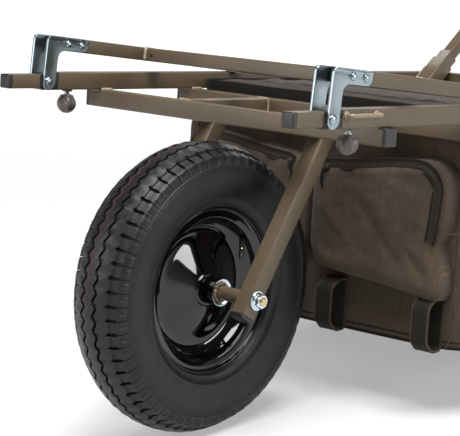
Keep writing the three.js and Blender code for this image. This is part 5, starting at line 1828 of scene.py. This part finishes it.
    def zip(self, side: Side, edge: np.ndarray) -> None:
        """Builds the zip along the pocket's top and outer side.

        Args:
            side: Which pocket.
            edge: The pocket's edge.
        """
        s = side.sign
        line = smooth_curve([(28, 162), (40, 166), (70, 168.5), (98, 172), (128, 176), (160, 180.5),
                             (195, 183), (214, 180), (227, 171), (234, 155), (233, 132), (231, 110),
                             (228, 91), (224, 78)], 150)
        path = np.array([(self.face(y, z, edge) + 1.7, s * y, z) for y, z in line])
        flat = [(-7.4, 0), (-7.0, 0.9), (7.0, 0.9), (7.4, 0), (7.0, -0.6), (-7.0, -0.6)]
        sketch = MeshSketch().sweep(path, flat, (1, 0, 0), threads=True)
        # The cords along both edges of the tape are the flap edges; their black binding colour is painted
        # shade for the shadow lines under the flaps.
        for across in (-7.6, 7.6):
            hem = [(across - 1.6, 0), (across - 1.1, 1.5), (across + 1.1, 1.5), (across + 1.6, 0),
                   (across, -0.8)]
            sketch.sweep(path, hem, (1, 0, 0), slots=1, threads=True)
        pitch, raised = 1.5, np.array([1.1, 0, 0])
        spots = smooth_curve(path, int(np.linalg.norm(np.diff(path, axis=0), axis=1).sum() / pitch))
        for before, spot, after in zip(spots, spots[1:], spots[2:]):
            along = (after - before) / np.linalg.norm(after - before)
            across = np.cross(along, (1, 0, 0))
            tooth = np.array([spot + across * reach + raised for reach in (-2.3, -0.6, 0.6, 2.3)])
            sketch.sweep(tooth, circle(0.62, 5), (1, 0, 0), scale=[0.8, 1, 1, 0.8], slots=2)
        sketch.settle(f"bag_pocket_zip_{side.word}", self.place.at(),
                      [Finishes.tape, Finishes.binding, Finishes.coil], "frame")
        pull = MeshSketch()
        start = path[3]
        body = [(2.2, s * 1, 0), (3.4, s * 5, 0.4), (2.4, s * 10, 0.8)]
        pull.sweep(start + np.array(body), rounded_rectangle(8, 3.4, 1.5, 3), (1, 0, 0),
                   scale=[0.7, 1, 0.8])
        tail = smooth_curve([(4, s * 4, 0), (6, s * 1, -6), (5, -s * 2, -20), (4, s * 1, -32)], 20)
        pull.sweep(start + tail, rounded_rectangle(4.4, 2.6, 1.2, 3), (1, 0, 0), slots=1,
                   scale=[0.7] * 5 + [1.0] * 13 + [0.8, 0.5])
        pull.settle(f"bag_zip_pull_{side.word}", self.place.at(), [Finishes.nylon, Finishes.binding],
                    "frame")

    def strap_loop(self, name: str, node: str, y: float) -> None:
        """Builds one webbing loop with a painted highlight along its edges, open along Y.

        Args:
            name: The piece's name.
            node: The node that it stands for.
            y: Where its middle is.
        """
        ring = resampled(filleted([(-260.6, -0.5, 7), (-242, -0.5, 14), (-225.2, -12, 14),
                                   (-225.2, -62, 16), (-240, -77, 14), (-260.6, -75, 7)], 8, True), 72)
        path = np.array([(x, y, z) for x, z in ring])
        half = self.loop_width / 2
        strap = [(-half + 2.2, -1.25), (half - 2.2, -1.25), (half - 2.2, 1.25), (-half + 2.2, 1.25)]
        sketch = MeshSketch().sweep(path, self.facing(strap), (0, 1, 0), closed=True, threads=True)
        for edge in (-half + 1.4, half - 1.4):
            hem = [(edge + a, b) for a, b in rounded_rectangle(2.8, 3.4, 1.2, 3)]
            sketch.sweep(path, self.facing(hem), (0, 1, 0), closed=True, slots=1, threads=True)
        sketch.settle(name, self.place.at(), [Finishes.webbing, Finishes.edge], "frame", node, sharp=50)

    @staticmethod
    def facing(section: Sequence[Flat]) -> list[Flat]:
        """Lays a strap section flat on its path: its long side runs along the sweep's second axis."""
        return [(b, a) for a, b in section]

    def seams(self) -> None:
        """Builds the stitched seams on the shell's front, and the tucks beside the pockets."""
        sketch = MeshSketch()
        seam_y, seam_top, inset, far = 254.0, 236.0, 22, 900
        for side in Side:
            s = side.sign
            path = []
            for z in np.linspace(self.bottom + 1, seam_top, 70):
                ring = self.ring(z)
                aside = np.abs(ring[:, 1] - s * min(seam_y, self.half_at(z) - inset))
                spot = ring[np.argmin(aside + (ring[:, 0] < -400) * far)]
                path.append((spot[0] + 0.5, spot[1], spot[2]))
            line = smooth_curve(path[::5], 90)
            sketch.sweep(line, circle(1.7, 6), (1, 0.2, 0), threads=True)
            stitches(sketch, line + np.array([1.0, -s * 5.0, 0]), (1, 0, 0), slot=1)
            tuck = smooth_curve([(-229, s * 234, 90), (-240, s * 244, 92), (-252, s * 255, 94),
                                 (-261, s * 266, 96)], 20)
            sketch.sweep(tuck, circle(0.8, 6), (0, 0, 1), threads=True)
        sketch.settle("bag_seams", self.place.at(), [Finishes.cloth, Finishes.thread], "frame")

    def build(self) -> None:
        """Builds every piece of the bag."""
        self.shell()
        self.mouth()
        for side in Side:
            self.pocket(side)
            for word, y in zip(("inner", "outer"), self.loop_places):
                self.strap_loop(f"bag_strap_loop_{word}_{side.word}", f"bag_loop_{word}_{side.word}",
                                side.sign * y)
        self.seams()


# Studio


@dataclass
class Studio:
    """Floor, world, lamps and the camera that the photograph was matched with.

    spot is the camera's place in the level frame, and rows are its right, down and forward directions.
    """

    place: Place
    focal: float = 1833.75
    picture: float = 460.0
    sensor: float = 36.0
    spot: Point = (1827.678, 1704.101, 448.519)
    rows: tuple[Point, Point, Point] = ((-0.674617, 0.735508, 0.062613), (0.060464, 0.139597, -0.988361),
                                        (-0.735688, -0.662979, -0.138647))
    horizon: tuple[float, ...] = (0.55, 0.55, 0.56, 1.0)
    zenith: tuple[float, ...] = (0.10, 0.10, 0.105, 1.0)
    horizon_top: float = 0.3

    def camera(self) -> None:
        """Sets the camera."""
        data = bpy.data.cameras.new("camera")
        data.lens = self.focal / self.picture * self.sensor
        data.sensor_width = self.sensor
        data.sensor_fit = "HORIZONTAL"
        data.clip_end = 100.0
        made = bpy.data.objects.new("camera", data)
        bpy.context.scene.collection.objects.link(made)
        right, down, ahead = (Vector(row) for row in self.rows)
        turn = Matrix((right, -down, -ahead)).transposed().to_4x4()
        tilt = self.place.level.to_quaternion().to_matrix().to_4x4()
        made.matrix_world = Matrix.Translation(self.place.level @ Vector(self.spot)) @ tilt @ turn
        bpy.context.scene.camera = made

    def floor(self) -> None:
        """Lays the wide floor."""
        sketch = MeshSketch().lathe([(0.1, 0), (600, 0), (2000, 0), (6000, 0), (14000, 0), (32000, 0)], 96)
        made = sketch.piece("studio_floor", Matrix.Scale(0.001, 4), [Finishes.floor])

    def world(self) -> None:
        """Sets the plain world light, paler towards the horizon."""
        world = bpy.data.worlds.new("studio_world")
        bpy.context.scene.world = world
        graph = Graph(world)
        where = graph.node("TexCoord").outputs["Generated"]
        height = graph.node("SeparateXYZ", {"0": where}).outputs["Z"]
        span = {"Value": height, "From Min": 0.0, "From Max": self.horizon_top}
        colour = graph.blend(graph.node("MapRange", span).outputs[0], self.horizon, self.zenith)
        light = graph.node("Background", {"Color": colour, "Strength": 1.0})
        graph.node("OutputWorld", {"Surface": light.outputs[0]})

    def lamp(self, name: str, spot: Point, target: Point, size: Flat, power: float) -> None:
        """Adds one soft area light.

        Args:
            name: The lamp's name.
            spot: Where it is, in metres in the row frame.
            target: What it faces.
            size: Its width and height in metres.
            power: Its power in watts.
        """
        data = bpy.data.lights.new(name, "AREA")
        data.shape = "RECTANGLE"
        data.size, data.size_y = size
        data.energy = power
        made = bpy.data.objects.new(name, data)
        made.visible_camera = False
        bpy.context.scene.collection.objects.link(made)
        aim = (Vector(target) - Vector(spot)).to_track_quat("-Z", "Y")
        made.matrix_world = Matrix.Translation(spot) @ aim.to_matrix().to_4x4()

    def build(self) -> None:
        """Sets the whole studio."""
        self.camera()
        self.floor()
        self.world()
        bed = (0.45, 0.0, 0.25)
        self.lamp("side_light", (-0.65, 2.22, 0.88), (0.53, 0.0, 0.22), (1.0, 0.48), 20.0)
        self.lamp("overhead_light", (0.8, 0.7, 3.0), bed, (1.8, 2.0), 172.0)
        self.lamp("front_light", (2.6, -0.9, 1.2), bed, (1.6, 1.2), 26.0)
        self.lamp("back_light", (-2.6, -1.6, 2.2), (0.0, 0.0, 0.25), (2.0, 1.6), 30.0)
        bpy.context.scene.view_settings.view_transform = "Standard"


def main() -> None:
    """Builds the trolley's looks and the studio."""
    logging.basicConfig(level=logging.INFO, format="%(message)s")
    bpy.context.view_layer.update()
    axle = next(joint["pos_m"] for joint in frame["joints"] if joint["name"] == "wheel_spin")
    place = Place(axle)
    parts = [Wheel(place), Axle(place), Fork(place), Frame(place), ClampKnobs(place), Extension(place),
             LoadStop(place)]
    parts += [Handle(place, side) for side in Side] + [RearLeg(place, side) for side in Side]
    parts += [Bag(place), Studio(place)]
    for part in parts:
        count = len(bpy.data.objects)
        part.build()
        LOG.info("%s: %d objects", type(part).__name__, len(bpy.data.objects) - count)
    bpy.context.view_layer.update()


if __name__ == "__main__":
    main()
